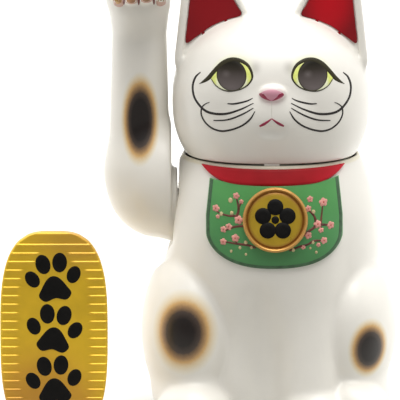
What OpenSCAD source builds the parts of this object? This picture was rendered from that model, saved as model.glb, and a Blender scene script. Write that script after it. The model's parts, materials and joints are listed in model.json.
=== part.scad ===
// Beckoning cat figurine with a battery-driven swinging right arm and a loose gold coin.
// Millimetres. The origin is on the ground under the neck, +Z is up and the face looks to -Y.

/* [Overall] */
// Widest part of the trunk and head scale, side to side
body_width = 84; // [70:2:102]
// Depth of the trunk, front to back
body_depth = 83; // [78:1:100]
// Height of the seam between body and head
neck_height = 101; // [92:1:122]
// Height of the head above the seam, without the ears
head_height = 54.3; // [48:0.5:65]

/* [Shells] */
// Wall thickness of the moulded shells
wall = 2; // [1.6:0.1:2.4]
// Gap between the body rim and the head rim
seam_gap = 0.7; // [0.5:0.1:0.9]
// Thickness of the bottom plate
base_t = 2; // [1.6:0.1:2.4]

/* [Arm] */
// Height of the arm above its pivot
arm_reach = 103.5; // [86:0.5:124.5]
// Radius of the round shoulder
shoulder_r = 20.8; // [18:0.2:22]
// Radius of the disc where the arm meets the body
disc_r = 14.3; // [12:0.1:17]
// Diameter of the steel axle
axle_d = 3; // [2.5:0.1:3.6]
// Radial running clearance of the axle in its bushes
axle_play = 0.05; // [0.03:0.01:0.08]
// Distance from the axle down to the counterweight
weight_drop = 34; // [29:1:38]
// Radius of the steel counterweight
weight_r = 10; // [8:0.1:10.5]

/* [Battery] */
// Diameter of the battery cell
cell_d = 10.4; // [8.6:0.1:12.6]
// Length of the battery cell with its terminal
cell_l = 44.5; // [37:0.5:46]

/* [Coin] */
// Width of the oval coin
coin_w = 41; // [34:1:49]
// Height of the oval coin
coin_h = 79; // [66:1:94]
// Thickness of the oval coin
coin_t = 5; // [4:0.5:6]

/* [Bib] */
// Radius of the round medal on the bib
medal_r = 12.4; // [10.5:0.1:14]
// Half width of the bib
bib_half = 26.2; // [22:0.2:28]

/* [Hidden] */
kx = body_width/84;
ky = body_depth/83;
kz = neck_height/101;
kh = head_height/54.3;
head_z = neck_height + seam_gap;
pivot_z = neck_height - 20.5;
flat_x = -35.5*kx;
flange_t = 0.5;
boss_h = 2.3;
face_x = flat_x - flange_t - 0.2;
arm_x = face_x - boss_h;
axle_r = axle_d/2;
arm_k = arm_reach/103.5;
ring_r = 30.4;
white = [0.93, 0.91, 0.87];
gold = [0.85, 0.68, 0.2];
steel = [0.75, 0.76, 0.78];
red = [0.62, 0.13, 0.14];
$fn = 48;

// ---- distance-like shapes, negative inside ----
// Rounded union of two shapes, k is the size of the fillet between them
function mn(a, b, k) = let(h = max(k - abs(a - b), 0)/k) min(a, b) - h*h*k/4;
// Rounded intersection
function mx(a, b, k) = -mn(-a, -b, k);
// Ellipsoid with centre c and half axes r
function egg(p, c, r) =
  let(q = p - c,
      a = norm([q.x/r.x, q.y/r.y, q.z/r.z]),
      b = norm([q.x/(r.x*r.x), q.y/(r.y*r.y), q.z/(r.z*r.z)]))
  a*(a - 1)/max(b, 1e-6);
// Round bar from a to b whose radius runs from ra to rb
function bar(p, a, b, ra, rb) =
  let(ab = b - a, t = max(0, min(1, (p - a)*ab/(ab*ab))))
  norm(p - a - ab*t) - (ra + (rb - ra)*t);

// ---- body ----
function trunk(p) =
  mn(egg(p, [0, 0, 66], [42.3, 41.5, 58.5]), egg(p, [0, 4, 17], [43.5, 38.5, 40]), 8);
function belly(p) = mx(trunk(p), -egg(p, [-5, -48, 20], [12, 18, 38]), 5);
function right_leg(p) =
  mn(mn(egg(p, [-30.2, -8, 33], [20, 31, 34]), egg(p, [-29.7, -12, 9], [16, 31, 13]), 4),
     egg(p, [-29.8, -35, 7], [15, 10.5, 8.5]), 2);
function left_leg(p) =
  mn(mn(egg(p, [30.6, -8, 34], [18.2, 30, 30]), egg(p, [31, -12, 9], [15.2, 30, 13]), 4),
     egg(p, [36, -34.5, 7], [10.5, 10.5, 8.5]), 2);
function fore_leg(p) =
  mn(bar(p, [14.2, -25, 72], [15, -30.5, 8], 12.3, 11.5),
     egg(p, [17, -36, 6.5], [12, 9.8, 8.2]), 2.5);
function tail(p) =
  mn(bar(p, [26, 28, 9], [8, 38, 10], 6, 6.5), bar(p, [8, 38, 10], [-10, 37, 17], 6.5, 5.5), 3);
function cat_body(p) =
  let(q = [p.x/kx, p.y/ky, p.z/kz],
      f = mn(mn(mn(mn(belly(q), fore_leg(q), 4), right_leg(q), 2.5), left_leg(q), 2.5),
             tail(q), 3)*min(kx, ky, kz),
      out = norm([p.y, p.z - pivot_z]),
      side = max(out - shoulder_r - 3.2, p.x - arm_x - 0.6 + 0.35*max(0, pivot_z - 12.5 - p.z)),
      seat = max(out - disc_r - 2.5, p.x - flat_x))
  mx(mx(f, -side, 2), -seat, 1);

// ---- head, height measured from the seam ----
function dome(p) =
  let(n = 2.3)
  (pow(pow(abs(p.x)/38.1, n) + pow(abs(p.y)/38, n) + pow(abs(p.z - 19.8)/34.5, n), 1/n) - 1)*36;
function ear_outer(z) = 37 - 0.1107*(z - 38.3);
function ear_inner(z) = 8.2 + 0.44*(z - 53.3) + 0.011*(z - 53.3)*(z - 53.3);
function ear_front(z) = 9.5 - (z - 38.3)/7;
function ear(p) =
  let(x = abs(p.x),
      out = mx(0.994*(x - ear_outer(p.z)), 0.8*(ear_inner(max(p.z, 34)) - x), 6),
      thick = mx(out, p.y - 8 + (p.z - 38.3)/10, 5))
  max(mx(thick, -p.y - ear_front(p.z), 1.5), 30 - p.z);
function skull(p) =
  let(q = [p.x/kx, p.y/ky, (p.z - head_z)/kh],
      face = mn(dome(q), egg(q, [0, -32, 18], [14, 8.5, 9.5]), 5))
  mn(face, egg(q, [0.3, -38.6, 28.5], [4.8, 2.4, 2.8]), 1.5)*min(kx, ky, kh);
function skull_in(p) = dome([p.x/kx, p.y/ky, (p.z - head_z)/kh])*min(kx, ky, kh);

// ---- raised arm, x from its flat inner face, z from the pivot ----
function arm_solid(p) =
  let(q = [p.x - arm_x, p.y, (p.z - pivot_z)/(p.z > pivot_z ? arm_k : 1)],
      s = shoulder_r,
      limb = mn(egg(q, [-4.5, 0, 9], [s, s - 1.8, s + 1.2]),
                bar(q, [-12.6, 0, 14.5], [-12.3, 0, 68.5], 13.1, 10.5), 7),
      hand = mn(limb, egg(q, [-12.3, -3, 85], [13.3, 14, 18.8]), 5),
      f1 = bar(q, [-21, -14.2, 95.5], [-21, -15.8, 85.7], 4.3, 4.5),
      f2 = bar(q, [-15.2, -15.2, 96.5], [-15.2, -17, 85.1], 4.3, 4.5),
      f3 = bar(q, [-9.3, -15.2, 96.5], [-9.3, -17, 85.1], 4.3, 4.5),
      f4 = bar(q, [-3.6, -14.2, 95.5], [-3.6, -15.8, 85.7], 4.3, 4.5),
      paw = mn(hand, mn(mn(f1, f2, 0.8), mn(f3, f4, 0.8), 0.8), 2),
      disc = mx(norm([p.y, p.z - pivot_z]) - disc_r, q.x - boss_h, 0.8),
      boss = mx(disc, -5 - q.x, 4))
  mn(mx(paw, q.x, 1.5), boss, 1.6);

// ---- search along a ray: first point from the outside where f turns negative ----
function halve(f, o, d, a, b, n) =
  n == 0 ? (a + b)/2 :
  let(m = (a + b)/2) f(o + d*m) < 0 ? halve(f, o, d, m, b, n - 1) : halve(f, o, d, a, m, n - 1);
function seek(f, o, d, r, step) =
  r <= 0 ? 0 : f(o + d*(r - step)) < 0 ? halve(f, o, d, r - step, r, 10) :
  seek(f, o, d, r - step, step);

// ---- closed skin between an outer and an inner grid of points ----
// low, high: the first and last row are single points. left: the first column is one point.
module skin(outer, inner, low = false, high = false, left = false) {
  rows = len(outer);
  cols = len(outer[0]);
  total = rows*cols;
  function id(i, j) =
    left && j == 0 ? 0 : low && i == 0 ? 0 : high && i == rows - 1 ? (rows - 1)*cols :
    i*cols + j;
  points = [for (g = [outer, inner], row = g, p = row) p];
  sides = [
    for (i = [0:rows - 2], j = [0:cols - 2])
    let(a = id(i, j), b = id(i + 1, j), c = id(i + 1, j + 1), d = id(i, j + 1))
    each [[a, b, c], [a, c, d], [total + a, total + c, total + b], [total + a, total + d, total + c]]];
  rims = [
    for (j = [0:cols - 2])
    let(a = id(0, j), b = id(0, j + 1), c = id(rows - 1, j), d = id(rows - 1, j + 1))
    each [[a, b, total + b], [a, total + b, total + a], [d, c, total + c], [d, total + c, total + d]]];
  ends = [
    for (i = [0:rows - 2])
    let(a = id(i, 0), b = id(i + 1, 0), c = id(i, cols - 1), d = id(i + 1, cols - 1))
    each [[b, a, total + a], [b, total + a, total + b], [c, d, total + d], [c, total + d, total + c]]];
  faces = [for (t = concat(sides, rims, ends)) if (t[0] != t[1] && t[1] != t[2] && t[0] != t[2]) t];
  polyhedron(points, faces, convexity = 8);
}

// Half of the body skin, from angle a0 to a0 + 180
module body_half(a0) {
  rows = 34;
  cols = 30;
  function grid(f) = [
    for (i = [0:rows])
    let(t = i/rows, z = neck_height*(0.4*t + 0.6*t*t))
    [for (j = [0:cols])
      let(a = a0 + 180*j/cols, d = [cos(a), sin(a), 0])
      [0, 0, z] + d*seek(f, [0, 0, z], d, 66, 4)]];
  outer_f = function(p) cat_body(p);
  inner_f = function(p) cat_body(p) + wall;
  color(white)
    difference() {
      skin(grid(outer_f), grid(inner_f));
      translate([flat_x - 4, 0, pivot_z]) rotate([0, 90, 0]) cylinder(r = axle_r + 3, h = 12);
      translate([flat_x, 0, pivot_z]) rotate([0, -90, 0]) cylinder(r = disc_r + 1.3, h = 14, $fn = 48);
    }
}
module body_front_shell() body_half(180);
module body_back_shell() body_half(0);

// Half of one ear: stacked half sections from inside the dome up to the tip
module ear_half(side, s) {
  rows = 12;
  cols = 10;
  z0 = 31;
  z1 = 83.5;
  f = function(p) ear(p);
  function mid(z) = (ear_outer(z) + max(ear_inner(z), 6))/2;
  rings = [for (i = [0:rows])
    let(t = i/rows, z = z0 + (z1 - z0)*(1.35*t - 0.35*t*t), c = [mid(z), 0, z])
    [for (j = [0:cols])
      let(a = 90 - 90*cos(180*j/cols)*0.35 + (180*j/cols - 90)*0.65, d = [cos(a), side*sin(a), 0])
      c + d*max(seek(f, c, d, 30, 1), 0.02)]];
  points = [for (r = rings, p = r) [s*p.x*kx, p.y*ky, head_z + p.z*kh]];
  n = cols + 1;
  walls = [for (i = [0:rows - 1], j = [0:cols])
    let(a = i*n + j, b = i*n + (j + 1)%n, c = b + n, d = a + n) each [[a, d, c], [a, c, b]]];
  caps = [for (j = [1:cols - 1]) each [[0, j, j + 1], [rows*n, rows*n + j + 1, rows*n + j]]];
  faces = concat(walls, caps);
  polyhedron(points, s*side > 0 ? faces : [for (t = faces) [t[0], t[2], t[1]]]);
}

// Half of the head skin: side -1 is the face, side 1 is the back
module head_half(side) {
  rows = 18;
  cols = 32;
  o = [0, 0, head_z];
  function grid(f) = [
    for (i = [0:cols])
    let(a = side < 0 ? 180*i/cols : 180 - 180*i/cols, d = [cos(a), 0, sin(a)],
        far = seek(f, o, d, 78, 3))
    [for (j = [0:rows])
      let(s = sin(90*j/rows), q = o + d*far*s)
      j == rows ? q : q + [0, side*seek(f, q, [0, side, 0], 60, 3), 0]]];
  outer_f = function(p) skull(p);
  inner_f = function(p) skull_in(p) + wall;
  color(white)
    union() {
      skin(grid(outer_f), grid(inner_f), left = true);
      ear_half(side, -1);
      ear_half(side, 1);
    }
}
module head_front_shell() head_half(-1);
module head_back_shell() head_half(1);

// Half of the arm skin, from angle a0 to a0 + 180
module arm_half(a0, cols) {
  rows = 30;
  cx = arm_x - 12;
  function mid(z) = cx + 9*pow(max(0, min(1, (pivot_z + 14 - z)/28)), 1.5);
  function grid(f) =
    let(o = [cx, 0, pivot_z],
        foot = [mid(pivot_z - 14), 0, pivot_z],
        top = o + [0, 0, seek(f, o, [0, 0, 1], arm_reach + 8, 3)],
        low = foot - [0, 0, seek(f, foot, [0, 0, -1], 30, 3)])
    [for (i = [0:rows])
      let(t = 0.5 - 0.5*cos(180*i/rows), z = low.z + (top.z - low.z)*(0.7*t + 0.3*i/rows))
      [for (j = [0:cols])
        let(a = a0 + 180*j/cols, d = [cos(a), sin(a), 0])
        i == 0 ? low : i == rows ? top : [mid(z), 0, z] + d*seek(f, [mid(z), 0, z], d, 34, 2)]];
  outer_f = function(p) arm_solid(p);
  inner_f = function(p) arm_solid(p) + wall - 0.1;
  color(white)
    difference() {
      skin(grid(outer_f), grid(inner_f), low = true, high = true);
      translate([face_x - wall - 1, 0, pivot_z]) rotate([0, 90, 0]) cylinder(r = axle_r + 0.6, h = 8);
    }
}
module arm_front_shell() arm_half(180, 18);
module arm_back_shell() arm_half(0, 12);

// Positions inside the body
cell_x = 18*kx;
cell_y = 1;
cell_z = base_t + 0.4 + cell_d/2;
tray_w = cell_d + 0.6;
tray_l = cell_l + 4.4;
lug_x = cell_x - tray_w/2 - 4.6;
switch_x = -24*kx;
switch_y = 16;
bracket_x = -9.5*kx;
bracket_feet = [[-5, -11], [-5, 11]];
lever_x = -20*kx;
weight_t = 9*kx;
foot_z = pivot_z - weight_drop - 12;
board_z = foot_z - 14;

// Bottom plate that closes the body, with openings for the cell and the switch
module base_plate() {
  f = function(p) cat_body(p) + wall + 0.3;
  outline = [for (a = [0:5:355]) let(d = [cos(a), sin(a), 0], r = seek(f, [0, 0, 0], d, 66, 4))
             [r*cos(a), r*sin(a)]];
  color([0.88, 0.87, 0.84])
    difference() {
      union() {
        linear_extrude(base_t) polygon(outline);
        for (p = bracket_feet) translate([p.x, p.y, 0]) cylinder(r = 3.2, h = 6);
      }
      translate([cell_x - tray_w/2, cell_y - tray_l/2, -1]) cube([tray_w, tray_l, base_t + 2]);
      translate([lug_x, cell_y - 3.2, -1]) cube([6, 6.4, base_t + 2]);
      translate([lug_x, cell_y, -1]) cylinder(r = 3.2, h = base_t + 2);
      translate([switch_x - 2, switch_y - 4, -1]) cube([4, 8, base_t + 2]);
      for (p = bracket_feet) translate([p.x, p.y, 2.4]) cylinder(r = 1.1, h = 5);
    }
}

// Ring glued in the neck opening that the head drops onto
module neck_ring() {
  color([0.95, 0.94, 0.9])
    scale([kx, ky, 1])
      difference() {
        union() {
          translate([0, 0, neck_height - 6]) cylinder(r = ring_r, h = 14, $fn = 72);
          translate([0, 0, neck_height]) cylinder(r = 32.2, h = seam_gap, $fn = 72);
          translate([-3, -33, neck_height]) cube([6, 4, seam_gap]);
        }
        translate([0, 0, neck_height - 7]) cylinder(r = ring_r - 2, h = 16, $fn = 72);
      }
}

// Red band across the front of the neck
module collar() {
  rows = 4;
  cols = 30;
  function grid(gap, inset) =
    let(f = function(p) cat_body(p) - gap)
    [for (i = [0:rows])
      [for (j = [0:cols])
        let(u = (2*j/cols - 1)*(1 - inset/30), a = 270 + 52*u, d = [cos(a), sin(a), 0],
            z0 = 93.4 + 2.8*u*u + inset, z1 = 99.8 + 0.4*u*u - inset,
            z = (z0 + (z1 - z0)*i/rows)*kz)
        [0, 0, z] + d*seek(f, [0, 0, z], d, 50, 2)]];
  color(red) skin(grid(1.6, 0.4), grid(0.15, 0));
}

// Bib that hangs from the collar and follows the chest
module bib() {
  rows = 10;
  cols = 18;
  function grid(gap) =
    let(f = function(p) cat_body(p) - gap)
    [for (i = [0:rows])
      [for (j = [0:cols])
        let(u = sin(90*(2*j/cols - 1)),
            v = max(abs(u), 0),
            foot = 78 - 15.6*pow(max(1 - pow(v, 2.5), 0), 0.4),
            w = asin(min(0.95, abs(1.2 + u*bib_half*0.95)/35))/52,
            top = 93.05 + 2.8*w*w,
            z = (foot + (top - foot)*i/rows)*kz,
            x = (1.2 + u*bib_half*(1 - 0.06*max(0, z/kz - 82)/14))*kx)
        [x, -seek(f, [x, 0, z], [0, -1, 0], 54, 3), z]]];
  color([0.31, 0.59, 0.33]) skin(grid(1), grid(0.15));
}

// Round medal with a double rim and a five-petal blossom
module medal() {
  color(gold)
    translate([1.2*kx, -(40 + 1.15)*ky, 81.5*kz])
      rotate([79, 0, 0])
        difference() {
          union() {
            translate([0, 0, -2]) cylinder(r = medal_r, h = 3);
            rotate_extrude() translate([medal_r - 0.9, 1]) circle(r = 0.85);
            rotate_extrude() translate([medal_r - 2.9, 1]) circle(r = 0.45);
            for (i = [0:4])
              rotate([0, 0, 90 + 72*i]) translate([medal_r*0.3, 0, 0.9]) cylinder(r = medal_r*0.2, h = 0.7);
            translate([0, 0, 0.9]) cylinder(r = medal_r*0.16, h = 1);
          }
          translate([0, -20, -43]) rotate([-90, 0, 0]) cylinder(r = 43.1, h = 40, $fn = 120);
        }
}

// Flat coloured plate on the front of an ear, with two lugs at its foot
module ear_plate(side) {
  function low(x) = 44.4 + 0.55*(32.4 - x) - 0.0062*pow(32.4 - x, 2)*1.0;
  tip = 78.1;
  inside = [for (i = [0:8]) let(z = 55 + (tip - 55)*i/8) [ear_inner(z) + 2.9, z]];
  outside = [for (i = [0:4]) let(z = tip - (tip - 45)*i/4) [ear_outer(z) - 3.2, z]];
  foot = [for (x = [29, 25.5, 22, 18.5, 15]) [x, low(x)]];
  s = side < 0 ? -kx : kx;
  lean = atan(ky/(7*kh));
  color([0.66, 0.1, 0.14])
    translate([0, -9.5*ky - 0.05, head_z + 38.3*kh])
      rotate([90 - lean, 0, 0])
        linear_extrude(0.9)
          polygon([for (p = concat(inside, outside, foot)) [s*p.x, (p.y - 38.3)*kh/cos(lean)]]);
}
module ear_insert_right() ear_plate(-1);
module ear_insert_left() ear_plate(1);

// Flanged bush held by the two body halves
module shoulder_bush() {
  color([0.9, 0.88, 0.84])
    translate([0, 0, pivot_z]) rotate([0, 90, 0])
      difference() {
        union() {
          translate([0, 0, flat_x - flange_t]) cylinder(r = axle_r + 4.5, h = flange_t - 0.05);
          translate([0, 0, flat_x - 0.1]) cylinder(r = axle_r + 2.95, h = 7.1);
        }
        translate([0, 0, flat_x - flange_t - 1]) cylinder(r = axle_r + axle_play, h = 12);
      }
}
module inner_bush() {
  color([0.8, 0.62, 0.25])
    translate([bracket_x - 4, 0, pivot_z]) rotate([0, 90, 0])
      difference() {
        union() {
          translate([0, 0, 1]) cylinder(r = axle_r + 1.5, h = 3);
          cylinder(r = axle_r + 2.5, h = 1);
        }
        translate([0, 0, -1]) cylinder(r = axle_r + axle_play, h = 6);
      }
}

// Upright bracket with a foot and a shelf for the circuit board
module bracket() {
  color([0.2, 0.2, 0.22])
    difference() {
      union() {
        translate([bracket_x - 3, -8, 6]) cube([3, 16, pivot_z - 6]);
        translate([bracket_x - 3, 0, pivot_z]) rotate([0, 90, 0]) cylinder(r = 8, h = 3);
        translate([bracket_x - 3, -15, 6]) cube([12, 30, 2]);
        translate([bracket_x - 28, -12, board_z - 2]) cube([27, 24, 2]);
        translate([bracket_x - 3, -1.5, 8]) cube([9, 3, 8]);
      }
      translate([bracket_x - 5, 0, pivot_z]) rotate([0, 90, 0]) cylinder(r = axle_r + 1.5, h = 8);
      for (p = bracket_feet) translate([p.x, p.y, 5]) cylinder(r = 1.35, h = 4);
      for (y = [-9, 9]) translate([bracket_x - 25.5, y, board_z - 3]) cylinder(r = 0.9, h = 4);
    }
}
module pan_screw(r, head_r, head_h, length) {
  difference() {
    union() {
      translate([0, 0, -length]) cylinder(r = r, h = length + 0.1);
      cylinder(r = head_r, h = head_h);
    }
    for (a = [0, 90]) rotate([0, 0, a]) translate([-head_r*0.6, -0.25, head_h*0.5]) cube([head_r*1.2, 0.5, head_h]);
  }
}
module bracket_screws() {
  color(steel) for (p = bracket_feet) translate([p.x, p.y, 8]) pan_screw(1.1, 2.2, 1.5, 5);
}

// Plug clamped between the arm halves that grips the axle
module arm_hub() {
  color([0.85, 0.84, 0.8])
    translate([face_x - wall + 0.02, 0, pivot_z]) rotate([0, -90, 0])
      difference() {
        union() {
          cylinder(r = 8, h = 2);
          cylinder(r = 5, h = 12);
        }
        translate([0, 0, -1]) cylinder(r = axle_r, h = 14);
      }
}
module arm_axle() {
  color(steel)
    translate([face_x - wall - 10, 0, pivot_z]) rotate([0, 90, 0])
      difference() {
        cylinder(r = axle_r, h = bracket_x + 2 - face_x + wall + 10);
        translate([0, 0, flat_x + 7.4 - face_x + wall + 10])
          difference() {
            cylinder(r = axle_r + 1, h = 0.8);
            translate([0, 0, -1]) cylinder(r = axle_r - 0.4, h = 3);
          }
      }
}
module axle_clip() {
  color(steel)
    translate([flat_x + 7.4, 0, pivot_z]) rotate([0, 90, 0])
      difference() {
        cylinder(r = axle_r + 1.9, h = 0.8);
        translate([0, 0, -1]) cylinder(r = axle_r - 0.4, h = 3);
        translate([-axle_r + 0.5, 0, -1]) cube([axle_d - 1, 9, 3]);
      }
}

// Lever clamped on the axle, with the weight on its side and the magnet at its foot
module pendulum_lever() {
  color([0.25, 0.25, 0.28])
    difference() {
      union() {
        translate([lever_x - 2, 0, pivot_z]) rotate([0, 90, 0]) cylinder(r = 5, h = 6);
        translate([lever_x - 2, -4, foot_z]) cube([4, 8, pivot_z - foot_z]);
        translate([lever_x - 6, -6, foot_z]) cube([12, 12, 1.6]);
      }
      translate([lever_x - 4, 0, pivot_z]) rotate([0, 90, 0]) cylinder(r = axle_r, h = 10);
      translate([lever_x - 4, 0, pivot_z - weight_drop]) rotate([0, 90, 0]) cylinder(r = 1.6, h = 10);
    }
}
module counterweight() {
  color([0.45, 0.46, 0.48])
    translate([lever_x - 2, 0, pivot_z - weight_drop]) rotate([0, -90, 0])
      difference() {
        cylinder(r = weight_r, h = weight_t);
        translate([0, 0, -1]) cylinder(r = 1.5, h = 7);
      }
}
module weight_screw() {
  color(steel)
    translate([lever_x + 2, 0, pivot_z - weight_drop]) rotate([0, 90, 0]) pan_screw(1.5, 2.8, 1.8, 9);
}
module magnet() {
  color([0.7, 0.71, 0.74])
    translate([lever_x, 0, foot_z - 4]) cylinder(r = 5, h = 4);
}

// Circuit board on the bracket shelf
module circuit_board() {
  color([0.16, 0.42, 0.22])
    difference() {
      translate([bracket_x - 27.7, -12, board_z]) cube([24.5, 24, 1.6]);
      for (y = [-9, 9]) translate([bracket_x - 25.5, y, board_z - 1]) cylinder(r = 1.1, h = 4);
      translate([lever_x, 0, board_z - 1]) cylinder(r = 1.2, h = 4);
    }
}
module board_screws() {
  color(steel)
    for (y = [-9, 9]) translate([bracket_x - 25.5, y, board_z + 1.6]) pan_screw(0.9, 1.9, 1.2, 3.6);
}
module capacitor() {
  color([0.12, 0.18, 0.4])
    translate([bracket_x - 21, 4.5, board_z + 1.6]) cylinder(r = 2.2, h = 5.5);
}
module driver_chip() {
  color([0.1, 0.1, 0.1])
    translate([bracket_x - 23.5, -5.6, board_z + 1.6]) cube([3.6, 4.4, 1.5]);
}
module coil_bobbin() {
  color([0.15, 0.15, 0.16])
    translate([lever_x, 0, board_z + 1.6])
      difference() {
        union() {
          cylinder(r = 6.8, h = 0.8);
          translate([0, 0, 5]) cylinder(r = 6.8, h = 0.8);
          cylinder(r = 2.5, h = 5.8);
        }
        translate([0, 0, -1]) cylinder(r = 1.2, h = 8);
      }
}
module coil_winding() {
  color([0.72, 0.4, 0.2])
    translate([lever_x, 0, board_z + 2.45])
      difference() {
        cylinder(r = 6.3, h = 4.1);
        translate([0, 0, -1]) cylinder(r = 2.5, h = 7);
      }
}

// Battery tray, open towards the door
module battery_holder() {
  color([0.12, 0.12, 0.13])
    difference() {
      union() {
        translate([cell_x - tray_w/2 - 1.4, cell_y - tray_l/2 - 1.4, base_t])
          cube([tray_w + 2.8, tray_l + 2.8, cell_d + 2.2]);
        translate([lug_x, cell_y - 2.5, base_t]) cube([6, 5, 7]);
        translate([lug_x, cell_y, base_t]) cylinder(r = 4.4, h = 7);
      }
      translate([cell_x - tray_w/2, cell_y - tray_l/2, base_t - 1]) cube([tray_w, tray_l, cell_d + 1.8]);
      translate([lug_x, cell_y, base_t - 1]) cylinder(r = 1.1, h = 7);
      for (y = [-tray_l/2 - 2, tray_l/2 - 1]) translate([cell_x - 1, cell_y + y, base_t + 9]) cube([2, 3, 2]);
    }
}
module battery_cell() {
  color([0.75, 0.55, 0.2])
    translate([cell_x, cell_y - tray_l/2 + 3, cell_z]) rotate([-90, 0, 0])
      union() {
        cylinder(r = cell_d/2, h = cell_l - 1);
        cylinder(r = 1.9, h = cell_l);
      }
}
// Tapered spring against the flat end of the cell
module contact_spring() {
  sides = 6;
  steps = 14;
  turns = 3;
  wire = 0.35;
  n = steps*turns;
  rings = [for (i = [0:n])
    let(a = 360*i/steps, r = 4.2 - 1.4*i/n, c = [r*cos(a), r*sin(a), 0.4 + 2.2*i/n])
    [for (k = [0:sides - 1]) let(b = 360*k/sides)
      c + [wire*cos(b)*cos(a), wire*cos(b)*sin(a), wire*sin(b)]]];
  points = [for (r = rings, p = r) p];
  tube = [for (i = [0:n - 1], k = [0:sides - 1])
    let(a = i*sides + k, b = i*sides + (k + 1)%sides, c = b + sides, d = a + sides)
    each [[a, c, b], [a, d, c]]];
  caps = [for (k = [1:sides - 2])
    each [[0, k, k + 1], [n*sides, n*sides + k + 1, n*sides + k]]];
  color([0.8, 0.8, 0.78])
    translate([cell_x, cell_y - tray_l/2, cell_z]) rotate([-90, 0, 0])
      polyhedron(points, concat(tube, caps));
}
module contact_plate() {
  color([0.82, 0.8, 0.72])
    translate([cell_x - 3.5, cell_y + tray_l/2 - 0.5, cell_z - 4]) cube([7, 0.5, 8]);
}
module battery_door() {
  color([0.86, 0.85, 0.82])
    difference() {
      union() {
        translate([cell_x - tray_w/2 + 0.2, cell_y - tray_l/2 + 0.2, 0.2])
          cube([tray_w - 0.4, tray_l - 0.4, base_t - 0.2]);
        translate([lug_x, cell_y - 3, 0.2]) cube([6, 6, base_t - 0.2]);
        translate([lug_x, cell_y, 0.2]) cylinder(r = 3, h = base_t - 0.2);
      }
      translate([lug_x, cell_y, -1]) cylinder(r = 1.25, h = 5);
      translate([lug_x, cell_y, -1]) cylinder(r = 2.1, h = 2.1);
      for (y = [6:3:15]) translate([cell_x - 4, cell_y + y, -0.6]) cube([8, 1.2, 1.2]);
    }
}
module door_screw() {
  color(steel) translate([lug_x, cell_y, 1.1]) mirror([0, 0, 1]) pan_screw(1.1, 2, 0.8, 5.5);
}

// Slide switch behind a slot in the bottom plate
module switch_housing() {
  color([0.14, 0.14, 0.15])
    difference() {
      translate([switch_x - 5, switch_y - 7, base_t]) cube([10, 14, 5]);
      translate([switch_x - 3.6, switch_y - 5.6, base_t - 1]) cube([7.2, 11.2, 3.6]);
    }
}
module switch_knob() {
  color([0.1, 0.1, 0.1])
    union() {
      translate([switch_x - 3.2, switch_y - 5.2, base_t + 0.15]) cube([6.4, 7.2, 1.6]);
      translate([switch_x - 1.6, switch_y - 3.6, 0.5]) cube([3.2, 4, 2]);
    }
}

// Leads from the tray to the board: a round section swept along a few points
module wire(path, r) {
  n = len(path);
  sides = 8;
  function unit(v) = v/norm(v);
  rings = [for (i = [0:n - 1])
    let(t = unit(path[min(i + 1, n - 1)] - path[max(i - 1, 0)]),
        u = unit(cross([0, 0, 1], t)), v = cross(t, u))
    [for (k = [0:sides - 1]) let(b = 360*k/sides) path[i] + r*(u*cos(b) + v*sin(b))]];
  tube = [for (i = [0:n - 2], k = [0:sides - 1])
    let(a = i*sides + k, b = i*sides + (k + 1)%sides, c = b + sides, d = a + sides)
    each [[a, c, b], [a, d, c]]];
  caps = [for (k = [1:sides - 2])
    each [[0, k, k + 1], [(n - 1)*sides, (n - 1)*sides + k + 1, (n - 1)*sides + k]]];
  polyhedron([for (g = rings, p = g) p], concat(tube, caps));
}
// Point of a smooth curve through the ends a and d, pulled towards b and c
function curve(a, b, c, d, t) = a*pow(1 - t, 3) + b*3*t*pow(1 - t, 2) + c*3*t*t*(1 - t) + d*pow(t, 3);
module lead(s, tint) {
  start = [cell_x, cell_y + s*(tray_l/2 + 2), base_t + 10];
  stop = [bracket_x - 6, s*10.5, board_z + 2.2];
  color(tint)
    wire([for (i = [0:12]) curve(start, start + [-2, s*2.5, 14], stop + [13, s*3, 9], stop, i/12)], 0.6);
}
module lead_red() lead(1, [0.75, 0.1, 0.1]);
module lead_black() lead(-1, [0.08, 0.08, 0.08]);

// Loose oval coin with milled edges
module koban() {
  n = 72;
  flat = -coin_h/2 + 1.2;
  outline = [for (i = [0:n - 1])
    let(a = 360*i/n, c = cos(a), s = sin(a))
    [coin_w/2*sign(c)*pow(abs(c), 0.65), max(coin_h/2*sign(s)*pow(abs(s), 0.65), flat)]];
  color(gold)
    translate([-83, -42.5, -flat])
      rotate([90, 0, 0])
        difference() {
          linear_extrude(coin_t) polygon(outline);
          for (z = [-coin_h/2 + 4.5:3.3:coin_h/2 - 3]) {
            translate([-coin_w/2 - 1, z, coin_t - 0.5]) cube([z > coin_h/2 - 12 ? coin_w + 2 : 8.6, 0.8, 1]);
            translate([coin_w/2 - 6.6, z, coin_t - 0.5]) cube([8, 0.8, 1]);
          }
        }
}

body_front_shell();
body_back_shell();
base_plate();
neck_ring();
collar();
bib();
medal();
head_front_shell();
head_back_shell();
ear_insert_right();
ear_insert_left();
shoulder_bush();
inner_bush();
bracket();
bracket_screws();
arm_front_shell();
arm_back_shell();
arm_hub();
arm_axle();
axle_clip();
pendulum_lever();
counterweight();
weight_screw();
magnet();
circuit_board();
board_screws();
capacitor();
driver_chip();
coil_bobbin();
coil_winding();
battery_holder();
battery_cell();
contact_spring();
contact_plate();
battery_door();
door_screw();
switch_housing();
switch_knob();
lead_red();
lead_black();
koban();
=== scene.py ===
"""Beckoning cat figurine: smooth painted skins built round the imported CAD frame."""
import math

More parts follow.
